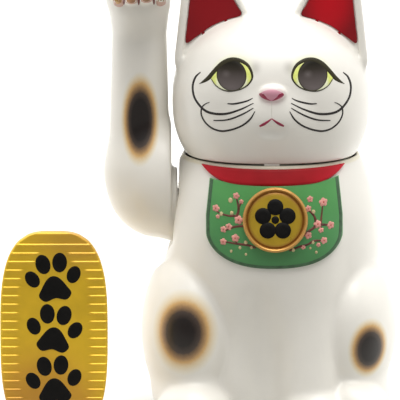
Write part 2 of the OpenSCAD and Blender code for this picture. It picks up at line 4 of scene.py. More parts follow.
import bmesh
import bpy
import numpy as np
from mathutils import Matrix, Vector
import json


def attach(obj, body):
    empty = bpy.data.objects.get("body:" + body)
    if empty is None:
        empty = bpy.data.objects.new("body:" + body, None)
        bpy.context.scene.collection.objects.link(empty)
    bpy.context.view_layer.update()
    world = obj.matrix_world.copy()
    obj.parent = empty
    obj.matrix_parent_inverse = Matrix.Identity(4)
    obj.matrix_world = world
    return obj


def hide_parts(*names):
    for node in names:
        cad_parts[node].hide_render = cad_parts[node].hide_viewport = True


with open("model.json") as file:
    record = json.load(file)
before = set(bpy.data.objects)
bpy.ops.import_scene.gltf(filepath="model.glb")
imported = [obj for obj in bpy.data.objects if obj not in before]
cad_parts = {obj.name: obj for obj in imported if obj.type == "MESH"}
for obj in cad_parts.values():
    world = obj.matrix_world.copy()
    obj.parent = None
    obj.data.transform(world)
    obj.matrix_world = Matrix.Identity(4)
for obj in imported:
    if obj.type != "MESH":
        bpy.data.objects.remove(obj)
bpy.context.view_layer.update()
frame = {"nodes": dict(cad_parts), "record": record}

MM = 0.001
NECK = 101.0      # body rim
HEAD = 101.7      # head rim
PIVOT = 80.5      # arm axle height
FLAT = -35.5      # flat of the shoulder recess
ARM = -38.5       # inner face of the arm
SHOULDER = 20.8   # radius of the round shoulder
DISC = 14.3       # radius of the disc where the arm meets the body
BOSS = 2.3        # height of that disc on the arm
SKIN = 1.6        # wall of the finished skins
SHOULDER_GAP = 3.2    # room round the shoulder in the body's recess
SEAT_GAP = 2.5    # room round the disc in its seat
AXLE_HOLE = 4.6   # radius of the hole behind the disc
SEAM_DIP = 0.13   # depth of the groove where two halves meet
RIM_DIP = 0.16    # rounding of an open rim
SNAP = 0.08       # distance at which a final cut takes in a near vertex
PAINT_ROOT = 0.25     # how far a painted detail reaches under its surface
COARSE = 1.0


# ---- shape fields, mm, negative inside
def blend_in(a, b, k):
    """Rounded union of two shapes, k is the size of the fillet between them."""
    h = np.maximum(k - np.abs(a - b), 0) / k
    return np.minimum(a, b) - h * h * k / 4


def blend_cut(a, b, k):
    """Rounded intersection of two shapes."""
    return -blend_in(-a, -b, k)


def egg(p, centre, radii):
    q = p - np.array(centre, float)
    r = np.array(radii, float)
    a = np.linalg.norm(q / r, axis=-1)
    b = np.linalg.norm(q / (r * r), axis=-1)
    return a * (a - 1) / np.maximum(b, 1e-6)


def bar(p, a, b, ra, rb):
    a = np.array(a, float)
    along = np.array(b, float) - a
    t = np.clip((p - a) @ along / (along @ along), 0, 1)
    return np.linalg.norm(p - a - t[..., None] * along, axis=-1) - (ra + (rb - ra) * t)


def body(p):
    trunk = blend_in(egg(p, [0, 0, 66], [42.3, 41.5, 58.5]), egg(p, [0, 4, 17], [43.5, 38.5, 40]), 8)
    f = blend_cut(trunk, -egg(p, [-5, -48, 20], [12, 18, 38]), 5)
    leg = blend_in(bar(p, [14.2, -25, 72], [15, -30.5, 8], 12.3, 11.5),
                   egg(p, [17, -36, 6.5], [12, 9.8, 8.2]), 2.5)
    right = blend_in(egg(p, [-30.2, -8, 33], [20, 31, 34]), egg(p, [-29.7, -12, 9], [16, 31, 13]), 4)
    right = blend_in(right, egg(p, [-29.8, -35, 7], [15, 10.5, 8.5]), 2)
    left = blend_in(egg(p, [30.6, -8, 34], [18.2, 30, 30]), egg(p, [31, -12, 9], [15.2, 30, 13]), 4)
    left = blend_in(left, egg(p, [36, -34.5, 7], [10.5, 10.5, 8.5]), 2)
    tail = blend_in(bar(p, [26, 28, 9], [8, 38, 10], 6, 6.5), bar(p, [8, 38, 10], [-10, 37, 17], 6.5, 5.5), 3)
    for piece, fillet in ((leg, 4), (right, 2.5), (left, 2.5), (tail, 3)):
        f = blend_in(f, piece, fillet)
    out = np.hypot(p[..., 1], p[..., 2] - PIVOT)
    under = 0.35 * np.maximum(0, PIVOT - 12.5 - p[..., 2])
    f = blend_cut(f, -np.maximum(out - SHOULDER - SHOULDER_GAP, p[..., 0] - ARM - 0.6 + under), 2)
    f = blend_cut(f, -np.maximum(out - DISC - SEAT_GAP, p[..., 0] - FLAT), 1)
    return np.maximum(f, -np.maximum(out - AXLE_HOLE, p[..., 0] - FLAT - 8))


def dome(q):
    n = 2.3
    return ((np.abs(q[..., 0]) / 38.1) ** n + (np.abs(q[..., 1]) / 38) ** n
            + (np.abs(q[..., 2] - 19.8) / 34.5) ** n) ** (1 / n) * 36 - 36


def ear_outer(z):
    return 37 - 0.1107 * (z - 38.3)


def ear_inner(z):
    return 8.2 + 0.44 * (z - 53.3) + 0.011 * (z - 53.3) ** 2


def ear_front(z):
    return 9.5 - (z - 38.3) / 7


def ear(q):
    """Ear with a white rim round a shallow pocket for the red plate."""
    x, y, z = np.abs(q[..., 0]), q[..., 1], q[..., 2]
    inner = ear_inner(np.maximum(z, 34))
    out = blend_cut(0.994 * (x - ear_outer(z)), 0.8 * (inner - x), 6)
    thick = blend_cut(out, y - 8 + (z - 38.3) / 10, 5)
    rim = blend_cut(thick, -y - ear_front(z) - 1.1, 1.6)
    pocket = blend_cut(np.maximum(x - ear_outer(z) + 3.0, 0.9 * (ear_inner(z) + 2.6 - x)),
                       y + ear_front(z), 0.3)
    return blend_cut(blend_cut(rim, -pocket, 0.7), 31 - z, 7)


def head(p):
    q = p - np.array([0, 0, HEAD])
    face = blend_in(dome(q), egg(q, [0, -32, 18], [14, 8.5, 9.5]), 5)
    face = blend_cut(face, -egg(q, [0, -41.5, 13.2], [4.5, 2.6, 2.2]), 3)
    face = blend_in(face, egg(q, [0.3, -38.6, 28.5], [4.8, 2.4, 2.8]), 1.5)
    return blend_in(face, ear(q), 1.8)


def arm(p):
    q = p - np.array([ARM, 0, PIVOT])
    limb = blend_in(egg(q, [-4.5, 0, 9], [SHOULDER, SHOULDER - 1.8, SHOULDER + 1.2]),
                    bar(q, [-12.4, 0, 16.5], [-12.3, 0, 68.5], 11.9, 10.5), 7)
    hand = blend_in(limb, egg(q, [-12.3, -3, 85], [13.3, 14, 18.8]), 5)
    fingers = [bar(q, [x, y, top], [x, y - 1.7, low], 4.3, 4.5) for x, y, top, low in (
        (-21, -14.2, 95.5, 85.7), (-15.2, -15.2, 96.5, 85.1),
        (-9.3, -15.2, 96.5, 85.1), (-3.6, -14.2, 95.5, 85.7))]
    row = fingers[0]
    for f in fingers[1:]:
        row = blend_in(row, f, 0.8)
    boss = blend_cut(np.hypot(q[..., 1], q[..., 2]) - DISC, q[..., 0] - BOSS, 0.8)
    boss = blend_cut(boss, -4 - q[..., 0], 6)
    return blend_in(blend_cut(blend_in(hand, row, 2), q[..., 0], 1.5), boss, 2.4)


def bib_face(p):
    return body(p) - 1.0


def slope(field, p):
    """Unit outward normals and gradient lengths of a field at the points p."""
    e = 0.05
    g = np.stack([field(p + d) - field(p - d) for d in np.eye(3) * e], -1) / (2 * e)
    size = np.maximum(np.linalg.norm(g, axis=-1, keepdims=True), 1e-6)
    return g / size, size[..., 0]


# ---- surface meshing
def surface(field, low, high, h):
    """Quad mesh of a field's zero surface: one vertex per crossed cell, pulled onto the surface."""
    axes = [np.arange(a, b + h, h) for a, b in zip(low, high)]
    f = np.concatenate([field(np.stack(np.meshgrid(part, axes[1], axes[2], indexing="ij"), -1))
                        for part in np.array_split(axes[0], 8)])
    cells = np.array(f.shape) - 1
    total = np.zeros((3, cells.prod()))
    count = np.zeros(cells.prod())
    edges = []
    for k in range(3):
        u, v = (k + 1) % 3, (k + 2) % 3
        a = np.take(f, range(f.shape[k] - 1), axis=k)
        b = np.take(f, range(1, f.shape[k]), axis=k)
        at = np.argwhere((a < 0) != (b < 0))
        fa, fb = a[tuple(at.T)], b[tuple(at.T)]
        place = np.stack([axes[i][at[:, i]] for i in range(3)], -1)
        place[:, k] += h * fa / (fa - fb)
        ring, good = [], np.ones(len(at), bool)
        for du, dv in ((0, 0), (1, 0), (1, 1), (0, 1)):
            c = at.copy()
            c[:, u] -= du
            c[:, v] -= dv
            ok = ((c >= 0) & (c < cells)).all(1)
            flat = np.ravel_multi_index(tuple(np.clip(c, 0, cells - 1).T), tuple(cells))
            for i in range(3):
                total[i] += np.bincount(flat[ok], place[ok, i], cells.prod())
            count += np.bincount(flat[ok], minlength=cells.prod())
            ring.append(flat)
            good &= ok
        quad = np.stack(ring, -1)
        flip = fa < 0
        quad[flip] = quad[flip][:, ::-1]
        edges.append(quad[good][:, ::-1])
    quads = np.concatenate(edges)
    used = np.flatnonzero(count)
    order = np.full(cells.prod(), -1)
    order[used] = np.arange(len(used))
    p = (total[:, used] / count[used]).T
    for _ in range(3):
        n, size = slope(field, p)
        step = np.clip(field(p) / size, -0.5 * h, 0.5 * h)
        p = p - n * step[:, None]
    return p, order[quads]


def mesh_of(name, points, faces):
    me = bpy.data.meshes.new(name)
    me.from_pydata((np.asarray(points) * MM).tolist(), [], [list(map(int, f)) for f in faces])
    me.update()
    return me


def smooth(me, angle=40):
    me.polygons.foreach_set("use_smooth", [True] * len(me.polygons))
    me.set_sharp_from_angle(angle=math.radians(angle))


def face_outward(me):
    """Turns every face of a closed mesh outward."""
    bm = bmesh.new()
    bm.from_mesh(me)
    bmesh.ops.recalc_face_normals(bm, faces=bm.faces)
    bm.to_mesh(me)
    bm.free()


def add(name, me, material, rider, replaced=()):
    """A new piece with its material, body and the CAD nodes that it stands for."""
    ob = bpy.data.objects.new(name, me)
    bpy.context.scene.collection.objects.link(ob)
    me.materials.clear()
    me.materials.append(material)
    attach(ob, rider)
    if replaced:
        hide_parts(*replaced)
    return ob


def cut(bm, place, normal, h, clear=False):
    bmesh.ops.bisect_plane(bm, geom=bm.verts[:] + bm.edges[:] + bm.faces[:], dist=h * MM,
                           plane_co=Vector(place) * MM, plane_no=normal, use_snap_center=True,
                           clear_outer=clear)


def skin(name, field, source, side, rims, h, material, rider, node):
    """One half of a moulded skin: side -1 is the front. rims are planes (z, direction) it ends at."""
    bm = bmesh.new()
    bm.from_mesh(source)
    edge = 0.3
    for z, up in rims:
        cut(bm, (0, 0, z - up * edge), (0, 0, up), 0.25 * h)
        cut(bm, (0, 0, z), (0, 0, up), SNAP, True)
    cut(bm, (0, side * edge, 0), (0, -side, 0), 0.25 * h)
    cut(bm, (0, 0, 0), (0, -side, 0), SNAP, True)
    bmesh.ops.delete(bm, geom=[v for v in bm.verts if not v.link_faces], context="VERTS")
    p = np.array([v.co for v in bm.verts]) / MM
    n, _ = slope(field, p)
    on_seam = np.abs(p[:, 1]) < 1e-3
    on_rim = np.zeros(len(p), bool)
    for z, up in rims:
        on_rim |= np.abs(p[:, 2] - z) < 1e-3
    flat = n * np.array([1, 0, 1])
    p[on_seam] -= flat[on_seam] * SEAM_DIP
    flat = n * np.array([1, 1, 0])
    p[on_rim] -= flat[on_rim] * RIM_DIP
    depth = -field(p - n * SKIN)
    weight = np.clip(depth / SKIN, 0.12, 1)
    for v, co in zip(bm.verts, p * MM):
        v.co = co
    me = bpy.data.meshes.new(name)
    bm.to_mesh(me)
    bm.free()
    smooth(me, 50)
    ob = add(name, me, material, rider, [node])
    group = ob.vertex_groups.new(name="wall")
    for level in np.unique(np.round(weight, 2)):
        group.add(np.flatnonzero(np.round(weight, 2) == level).tolist(), float(level), "REPLACE")
    wall = ob.modifiers.new("wall", "SOLIDIFY")
    wall.thickness = SKIN * MM
    wall.offset = -1
    wall.vertex_group = "wall"
    wall.use_rim = True
    return ob


# ---- painted details laid on a surface
def from_front(field, x, z):
    """Points of the surface met by lines along +Y, with outward normals."""
    x, z = np.asarray(x, float), np.asarray(z, float)
    ys = np.arange(-60.0, 20.0, 0.8)
    grid = np.stack(np.broadcast_arrays(x[:, None], ys[None], z[:, None]), -1)
    hit = field(grid) < 0
    first = np.where(hit.any(1), hit.argmax(1), len(ys) - 1)
    near, far = ys[np.maximum(first - 1, 0)], ys[first]
    for _ in range(12):
        mid = (near + far) / 2
        inside = field(np.stack([x, mid, z], -1)) < 0
        far = np.where(inside, mid, far)
        near = np.where(inside, near, mid)
    p = np.stack([x, far, z], -1)
    return p, slope(field, p)[0]


def spline(points, count, closed=False):
    """Smooth curve through points of any dimension, evenly spaced."""
    p = np.array(points, float)
    if closed:
        p = np.concatenate([p[-1:], p, p[:2]])
    else:
        p = np.concatenate([2 * p[:1] - p[1:2], p, 2 * p[-1:] - p[-2:-1]])
    t = np.linspace(0, 1, 12, endpoint=False)[:, None]
    run = []
    for a, b, c, d in zip(p[:-3], p[1:-2], p[2:-1], p[3:]):
        run.append(0.5 * (2 * b + (c - a) * t + (2 * a - 5 * b + 4 * c - d) * t ** 2
                          + (3 * b - a - 3 * c + d) * t ** 3))
    run = np.concatenate(run + ([] if closed else [p[-2:-1]]))
    if closed:
        run = np.concatenate([run, run[:1]])
    far = np.concatenate([[0], np.cumsum(np.linalg.norm(np.diff(run[:, :2], axis=0), axis=1))])
    s = np.linspace(0, far[-1], count, endpoint=not closed)
    return np.stack([np.interp(s, far, run[:, k]) for k in range(run.shape[1])], -1)


class Paint:
    """Gathers thin closed patches and brush strokes into one mesh."""

    def __init__(self, place):
        self.place = place    # maps (x, z) to points and normals
        self.points, self.faces = [], []

    def add(self, points, faces):
        base = sum(len(p) for p in self.points)
        self.points.append(points)
        self.faces += [[base + i for i in f] for f in faces]

    def stroke(self, path, lift=0.1, step=0.5):
        """A brush stroke. path holds rows (x, z, half width)."""
        rough = np.array(path, float)
        length = np.linalg.norm(np.diff(rough[:, :2], axis=0), axis=1).sum()
        n = max(int(length / step), 6)
        c = spline(rough, n)
        d = np.gradient(c[:, :2], axis=0)
        d /= np.maximum(np.linalg.norm(d, axis=1, keepdims=True), 1e-9)
        across = np.stack([-d[:, 1], d[:, 0]], -1)
        profile = [(-0.9, -PAINT_ROOT), (-1, 0), (-0.6, 0.8), (0, 1), (0.6, 0.8), (1, 0), (0.9, -PAINT_ROOT)]
        rings = []
        for off, up in profile:
            xz = c[:, :2] + across * (np.maximum(c[:, 2:3], 0.03) * off)
            p, normal = self.place(xz[:, 0], xz[:, 1])
            rings.append(p + normal * (up if up < 0 else up * lift))
        p = np.stack(rings, 1)
        m = len(profile)
        faces = [[i * m + j, i * m + (j + 1) % m, (i + 1) * m + (j + 1) % m, (i + 1) * m + j]
                 for i in range(n - 1) for j in range(m)]
        faces += [list(range(m))[::-1], [(n - 1) * m + j for j in range(m)]]
        self.add(p.reshape(-1, 3), faces)

    def patch(self, outline, lift=0.1, count=64, centre=None, edge=0.25, step=1.2):
        """A filled patch inside a closed outline of (x, z) points."""
        o = spline(outline, count, closed=True)
        mid = np.array(centre if centre is not None else o.mean(0), float)
        reach = np.linalg.norm(o - mid, axis=1).mean()
        rows = max(int(reach / step), 2)
        inset = max(1 - edge / reach, 0.5)
        scales = [(s, 1.0) for s in np.linspace(0, inset, rows + 1)[1:]] + [(1.0, 0.0), (0.97, None)]
        xz = np.concatenate([mid[None]] + [mid + (o - mid) * s for s, _ in scales] + [mid[None]])
        p, normal = self.place(xz[:, 0], xz[:, 1])
        heights = [-PAINT_ROOT if u is None else lift * u for _, u in scales]
        up = np.concatenate([[lift], np.repeat(heights, count), [-PAINT_ROOT]])
        p = p + normal * up[:, None]
        faces = [[0, 1 + (j + 1) % count, 1 + j] for j in range(count)]
        for i in range(len(scales) - 1):
            a = 1 + i * count
            faces += [[a + j, a + (j + 1) % count, a + count + (j + 1) % count, a + count + j]
                      for j in range(count)]
        a = 1 + (len(scales) - 1) * count
        faces += [[a + j, a + (j + 1) % count, len(p) - 1] for j in range(count)]
        self.add(p, faces)

    def make(self, name, material, rider, slot):
        me = mesh_of(name, np.concatenate(self.points), self.faces)
        face_outward(me)
        smooth(me, 60)
        return add(name, me, material, rider)


def on(field):
    return lambda x, z: from_front(field, x, z)


def circle(x, z, r, rz=None, n=16):
    return [(x + r * math.cos(a), z + (rz or r) * math.sin(a)) for a in np.arange(n) * 2 * math.pi / n]


# ---- materials
def rgb(r, g, b):
    """Linear colour from everyday 0 to 255 values."""
    return tuple((c / 255 / 12.92) if c <= 10 else ((c / 255 + 0.055) / 1.055) ** 2.4
                 for c in (r, g, b)) + (1.0,)


class Finish:
    """A procedural material built up in layers."""

    def __init__(self, name, colour, rough=0.4, vary=0.04, grain=60.0, bump=0.02, metal=0.0, coat=0.0,
                 stretch=(1, 1, 1), shift=(0, 0, 0), spec=0.5):
        self.mat = bpy.data.materials.new(name)
        self.mat.use_nodes = True
        self.tree = self.mat.node_tree
        self.shader = self.tree.nodes["Principled BSDF"]
        self.shader.inputs["Metallic"].default_value = metal
        self.shader.inputs["Coat Weight"].default_value = coat
        self.shader.inputs["Coat Roughness"].default_value = 0.15
        self.shader.inputs["Specular IOR Level"].default_value = spec
        self.where = self.node("ShaderNodeTexCoord").outputs["Object"]
        mapped = self.node("ShaderNodeMapping")
        mapped.inputs["Scale"].default_value = stretch
        mapped.inputs["Location"].default_value = shift
        self.link(self.where, mapped.inputs["Vector"])
        cloud = self.noise(grain, mapped.outputs[0], 4)
        c = rgb(*colour)
        dark = tuple(v * (1 - 2.2 * vary) for v in c[:3]) + (1,)
        light = tuple(min(v * (1 + 1.2 * vary), 1) for v in c[:3]) + (1,)
        self.colour = self.ramp(cloud, [(0.3, dark), (0.55, c), (0.75, light)])
        fine = self.noise(grain * 22, mapped.outputs[0], 2)
        spread = self.node("ShaderNodeMapRange")
        spread.inputs["To Min"].default_value = max(rough - 0.07, 0.03)
        spread.inputs["To Max"].default_value = rough + 0.07
        self.link(cloud, spread.inputs["Value"])
        self.link(spread.outputs[0], self.shader.inputs["Roughness"])
        if bump:
            b = self.node("ShaderNodeBump")
            b.inputs["Strength"].default_value = bump
            b.inputs["Distance"].default_value = 0.0002
            self.link(fine, b.inputs["Height"])
            self.link(b.outputs[0], self.shader.inputs["Normal"])

    def node(self, kind):
        return self.tree.nodes.new(kind)

    def link(self, a, b):
        self.tree.links.new(a, b)

    def noise(self, scale, vector, detail):
        n = self.node("ShaderNodeTexNoise")
        n.inputs["Scale"].default_value = scale
        n.inputs["Detail"].default_value = detail
        self.link(vector, n.inputs["Vector"])
        return n.outputs["Fac"]

    def ramp(self, value, stops):
        r = self.node("ShaderNodeValToRGB")
        e = r.color_ramp.elements
        while len(e) < len(stops):
            e.new(0.5)
        for item, (at, colour) in zip(e, stops):
            item.position = at
            item.color = colour
        self.link(value, r.inputs["Fac"])
        self.last_alpha = r.outputs["Alpha"]
        return r.outputs["Color"]

    def cover(self, colour, amount):
        mix = self.node("ShaderNodeMix")
        mix.data_type = "RGBA"
        self.link(amount, mix.inputs["Factor"])
        self.link(self.colour, mix.inputs["A"])
        self.link(colour, mix.inputs["B"])
        self.colour = mix.outputs["Result"]
        return self

    def spot(self, centre, radii, stops, ragged=0.02, grain=900.0):
        """An oval of colour, for airbrushed paint and for painted light and shade. stops are (share of the
        radius, colour, opacity).
        """
        away = self.node("ShaderNodeVectorMath")
        away.operation = "SUBTRACT"
        away.inputs[1].default_value = [c * MM for c in centre]
        self.link(self.where, away.inputs[0])
        scaled = self.node("ShaderNodeVectorMath")
        scaled.operation = "MULTIPLY"
        scaled.inputs[1].default_value = [1 / (r * MM) for r in radii]
        self.link(away.outputs[0], scaled.inputs[0])
        length = self.node("ShaderNodeVectorMath")
        length.operation = "LENGTH"
        self.link(scaled.outputs[0], length.inputs[0])
        mottle = self.node("ShaderNodeMath")
        mottle.operation = "MULTIPLY_ADD"
        mottle.inputs[1].default_value = ragged * 2
        self.link(self.noise(grain, self.where, 5), mottle.inputs[0])
        self.link(length.outputs["Value"], mottle.inputs[2])
        colour = self.ramp(mottle.outputs[0],
                           [(min(at + ragged, 1), rgb(*c)[:3] + (a,)) for at, c, a in stops])
        return self.cover(colour, self.last_alpha)

    def band(self, axis, stops):
        """Colour by height or side. stops are (mm, colour, opacity), lowest first."""
        split = self.node("ShaderNodeSeparateXYZ")
        self.link(self.where, split.inputs[0])
        low, high = stops[0][0], stops[-1][0]
        span = self.node("ShaderNodeMapRange")
        span.inputs["From Min"].default_value = low * MM
        span.inputs["From Max"].default_value = high * MM
        self.link(split.outputs["XYZ".index(axis)], span.inputs["Value"])
        colour = self.ramp(span.outputs[0], [((at - low) / (high - low), rgb(*c)[:3] + (a,))
                                             for at, c, a in stops])
        return self.cover(colour, self.last_alpha)

    def done(self):
        self.link(self.colour, self.shader.inputs["Base Color"])
        return self.mat


WHITE = (240, 237, 230)
CORE, RING = (28, 20, 18), (204, 154, 66)


def fur_spot(finish, centre, radii, core):
    """Black-brown spot with a golden brown airbrushed halo."""
    return finish.spot(centre, radii, [
        (0, CORE, 1), (core - 0.16, CORE, 1), (core - 0.02, (58, 42, 32), 0.98),
        (core + 0.09, (146, 104, 46), 0.92), (core + 0.17, RING, 0.85),
        (core + 0.26, (218, 182, 102), 0.55), (0.97, (236, 220, 172), 0)])


def white_skin(name, seed):
    return Finish(name, WHITE, rough=0.36, vary=0.018, grain=45, bump=0.05, coat=0.15, shift=(seed, seed, 0))


body_white = white_skin("body_white", 0.3)
fur_spot(body_white, (-33.5, -35, 36.8), (14.0, 17.5, 17.4), 0.5)
fur_spot(body_white, (37.2, -33, 30.4), (9.0, 15, 12.4), 0.56)
# painted light: the body's top lip is tinted cream, as if lit from above and warmed by light reflected off
# the red collar
body_white.band("Z", [(98.9, WHITE, 0), (99.8, (238, 228, 196), 0.6), (101.2, (238, 228, 196), 0.6)])
head_white = white_skin("head_white", 0.9)
for side in (-1, 1):
    head_white.spot((side * 16, -34, 138.2), (11.5, 9, 8.4), [
        (0, (222, 226, 150), 0.6), (0.62, (226, 230, 165), 0.55), (0.8, (236, 238, 200), 0.3),
        (0.95, WHITE, 0)], 0.02)
    # painted shade: soft grey at the inner corners of the eyes, beside the nose bridge
    head_white.spot((side * 6.5, -36, 139.6), (4.4, 7, 5.2), [
        (0, (176, 172, 164), 0.75), (0.35, (188, 184, 176), 0.6), (0.9, WHITE, 0)], 0.02)
head_white.spot((0, -40, 129.4), (6.8, 7, 5.2), [
    (0, (240, 200, 205), 0.8), (0.62, (240, 210, 212), 0.5), (0.95, WHITE, 0)], 0.02)
arm_white = white_skin("arm_white", 1.7)
fur_spot(arm_white, (-50.4, -12.2, 115.4), (8.2, 14, 19.4), 0.56)
body_white, head_white, arm_white = body_white.done(), head_white.done(), arm_white.done()

ink = Finish("whisker_ink", (46, 42, 42), rough=0.5, vary=0.12, grain=900, bump=0.1, spec=0.25).done()
lid_ink = Finish("lid_ink", (50, 46, 27), rough=0.5, vary=0.15, grain=700, bump=0.1, spec=0.2).band(
    "Z", [(129, (76, 74, 62), 0.7), (136, (56, 52, 34), 0.4), (142, (44, 40, 22), 0.8)]).done()
# painted reflection: the pupil is lighter towards the bottom, where its glossy paint reflects the bright
# surroundings, and darker at the top
pupil = Finish("pupil_paint_and_sheen", (85, 78, 75), rough=0.4, vary=0.08, grain=260, bump=0.03, spec=0.1).band(
    "Z", [(129.8, (128, 119, 119), 0.95), (132.6, (104, 96, 95), 0.9), (135.6, (80, 73, 71), 0.9),
          (138.2, (46, 41, 34), 0.95), (140.4, (24, 21, 12), 1)])
# painted highlight: a soft lighter patch on each pupil
for side in (-1, 1):
    pupil.spot((side * 15.6 - 2.0, -34, 136.4), (2.6, 6, 2.2), [
        (0, (126, 118, 118), 0.5), (0.9, (100, 92, 90), 0)], 0.06)
pupil = pupil.done()
sclera = Finish("sclera_paint_and_shade", (228, 236, 128), rough=0.28, vary=0.05, grain=500, bump=0.03, coat=0.3)
for side in (-1, 1):
    sclera.spot((side * 15.4, -34, 133.0), (8.0, 8, 6.4), [
        (0, (248, 250, 222), 1), (0.72, (246, 248, 214), 1), (0.95, (228, 236, 128), 0)], 0.03)
# painted shade: dark olive across the top of each eye white, under the upper lid
sclera.band("Z", [(138.6, (150, 148, 84), 0), (141.2, (150, 148, 84), 0.55)])
sclera = sclera.done()
# painted light: the pink nose is lighter towards the top and darker underneath
nose_paint_and_light = Finish(
    "nose_paint_and_light", (222, 152, 174), rough=0.35, vary=0.05, grain=500, bump=0.04, coat=0.2).band(
    "Z", [(126.8, (206, 128, 156), 0.6), (131.8, (236, 182, 196), 0.6)]).done()
magenta = Finish("mouth_paint", (160, 36, 74), rough=0.35, vary=0.14, grain=900, bump=0.06).done()
# painted shade: a faint grey line for the crease from the nose down to the mouth
painted_crease_shade = Finish("painted_crease_shade", (222, 218, 208), rough=0.4, vary=0.05, grain=500, bump=0.02).done()
claw_red = Finish("paw_line_paint", (112, 40, 36), rough=0.4, vary=0.15, grain=900, bump=0.06).done()
# painted reflections: each gold nail gets its own tint across the paw, as if reflecting different
# surroundings
nail_gold = Finish("nail_gold", (176, 134, 62), rough=0.34, vary=0.16, grain=420, bump=0.06, metal=0.35).band(
    "X", [(-60, (186, 140, 60), 0.8), (-54, (182, 132, 104), 0.8), (-48, (160, 122, 104), 0.8),
          (-41, (152, 134, 72), 0.8)]).done()
nail_pink = Finish("nail_pink", (214, 178, 164), rough=0.4, vary=0.06, grain=500, bump=0.03).done()
# painted light and shade: the red is brighter towards both ends, where the collar turns to the sides, and
# darker in the middle
collar_red = Finish("collar_red", (172, 22, 32), rough=0.42, vary=0.1, grain=160, bump=0.08, spec=0.2).band(
    "X", [(-28, (200, 20, 40), 0.9), (-12, (160, 22, 32), 0.5), (12, (160, 22, 32), 0.5),
          (28, (204, 20, 44), 0.9)]).done()
# painted light: the green is darker towards the bottom of the bib and lighter towards the top, where more
# light falls
bib_green = Finish("bib_green", (78, 148, 84), rough=0.42, vary=0.09, grain=90, bump=0.1, coat=0.08).band(
    "Z", [(62, (70, 124, 78), 0.7), (74, (78, 140, 86), 0.5), (92, (86, 162, 84), 0.6)]).done()
bib_edge = Finish("bib_edge", (66, 100, 70), rough=0.45, vary=0.16, grain=420, bump=0.1).done()
branch = Finish("branch_paint", (104, 52, 42), rough=0.5, vary=0.3, grain=420, bump=0.15).done()
petal = Finish("petal_paint", (226, 156, 144), rough=0.5, vary=0.14, grain=520, bump=0.12).done()
bud = Finish("bud_paint", (206, 186, 142), rough=0.5, vary=0.14, grain=520, bump=0.12).done()
petal_heart = Finish("petal_heart", (188, 84, 78), rough=0.5, vary=0.15, grain=800, bump=0.1).done()
black = Finish("brush_black", (9, 7, 6), rough=0.6, vary=0.4, grain=300, bump=0.2, spec=0.2).done()
# painted shade: a dark brown ring in the groove inside the medal's raised rim
medal_gold = Finish(
    "medal_gold", (206, 172, 50), rough=0.3, vary=0.08, grain=200, bump=0.08, metal=0.45).spot(
    (1.2, -42, 81.5), (12.6, 9, 12.6), [
        (0, (212, 186, 44), 0.7), (0.74, (206, 168, 56), 0.6), (0.84, (140, 86, 40), 0.9),
        (0.9, (196, 140, 74), 0.85), (0.98, (190, 140, 80), 0.85)], 0.015).done()
ear_red = Finish("ear_red", (172, 22, 32), rough=0.4, vary=0.08, grain=150, bump=0.05, spec=0.2)
# painted shade: the red plate darkens towards its edges, inside the white rim of its pocket
for side in (-1, 1):
    ear_red.spot((side * 22.5, -9, 162), (11.5, 9, 17), [
        (0, (206, 22, 36), 0.9), (0.5, (192, 22, 34), 0.8), (0.95, (132, 26, 32), 0.85)], 0.04)
ear_red = ear_red.done()
coin_gold = Finish("coin_gold", (240, 196, 40), rough=0.38, vary=0.08, grain=55, bump=0.1,
                   metal=0.35, coat=0.1)
# painted reflections on the metallic gold: orange-brown patches at the lower left and across the top
coin_gold.spot((-88, -47, 6), (34, 30, 40), [
    (0, (176, 116, 48), 0.9), (0.5, (204, 144, 48), 0.7), (0.95, (240, 196, 40), 0)], 0.06, 60)
coin_gold.spot((-74, -47, 82), (30, 30, 26), [
    (0, (214, 156, 66), 0.8), (0.5, (224, 170, 60), 0.55), (0.95, (240, 196, 40), 0)], 0.06, 60)
coin_gold = coin_gold.done()

PLAIN = {
    "white_plastic": Finish("plain_white", WHITE, 0.4, 0.02, 50, 0.05).done(),
    "base_plastic": Finish("plain_base", (226, 222, 212), 0.5, 0.03, 80, 0.12).done(),
    # painted shade: a grey ring, so that the gap between the head and the body reads as a dark line
    "ring_plastic": Finish("plain_ring", (150, 147, 138), 0.55, 0.06, 80, 0.1).done(),
    "brass": Finish("plain_brass", (196, 164, 92), 0.3, 0.08, 240, 0.1, metal=1.0).done(),
    "steel": Finish(
        "plain_steel", (190, 192, 196), 0.3, 0.06, 300, 0.12, metal=1.0, stretch=(1, 1, 6)).done(),
    "weight_steel": Finish("plain_weight", (128, 130, 134), 0.42, 0.1, 260, 0.2, metal=1.0).done(),
    "black_plastic": Finish("plain_black", (34, 34, 36), 0.5, 0.15, 120, 0.15).done(),
    "board_green": Finish("plain_board", (30, 104, 58), 0.4, 0.12, 700, 0.1, coat=0.3).done(),
    "copper": Finish(
        "plain_copper", (184, 104, 58), 0.3, 0.1, 260, 0.5, metal=0.9, stretch=(1, 1, 40)).done(),
    "cell_jacket": Finish("plain_cell", (176, 140, 66), 0.3, 0.06, 160, 0.05, metal=0.5, coat=0.3).band(
        "Y", [(6, (40, 40, 44), 0), (7, (40, 40, 44), 1), (24, (40, 40, 44), 1)]).done(),
    "lead_red": Finish("plain_lead_red", (176, 30, 30), 0.4, 0.06, 300, 0.05).done(),
    "lead_black": Finish("plain_lead_black", (36, 34, 34), 0.4, 0.1, 300, 0.05).done(),
}


# ---- skins
def halves(part, field, low, high, h, rims, material, rider):
    p, quads = surface(field, low, high, h)
    source = mesh_of(part + "_source", p, quads)
    for where, side in (("front", -1), ("back", 1)):
        name = f"{part}_{where}"
        skin(name + "_skin", field, source, side, rims, h, material, rider, name + "_shell")
    bpy.data.meshes.remove(source)


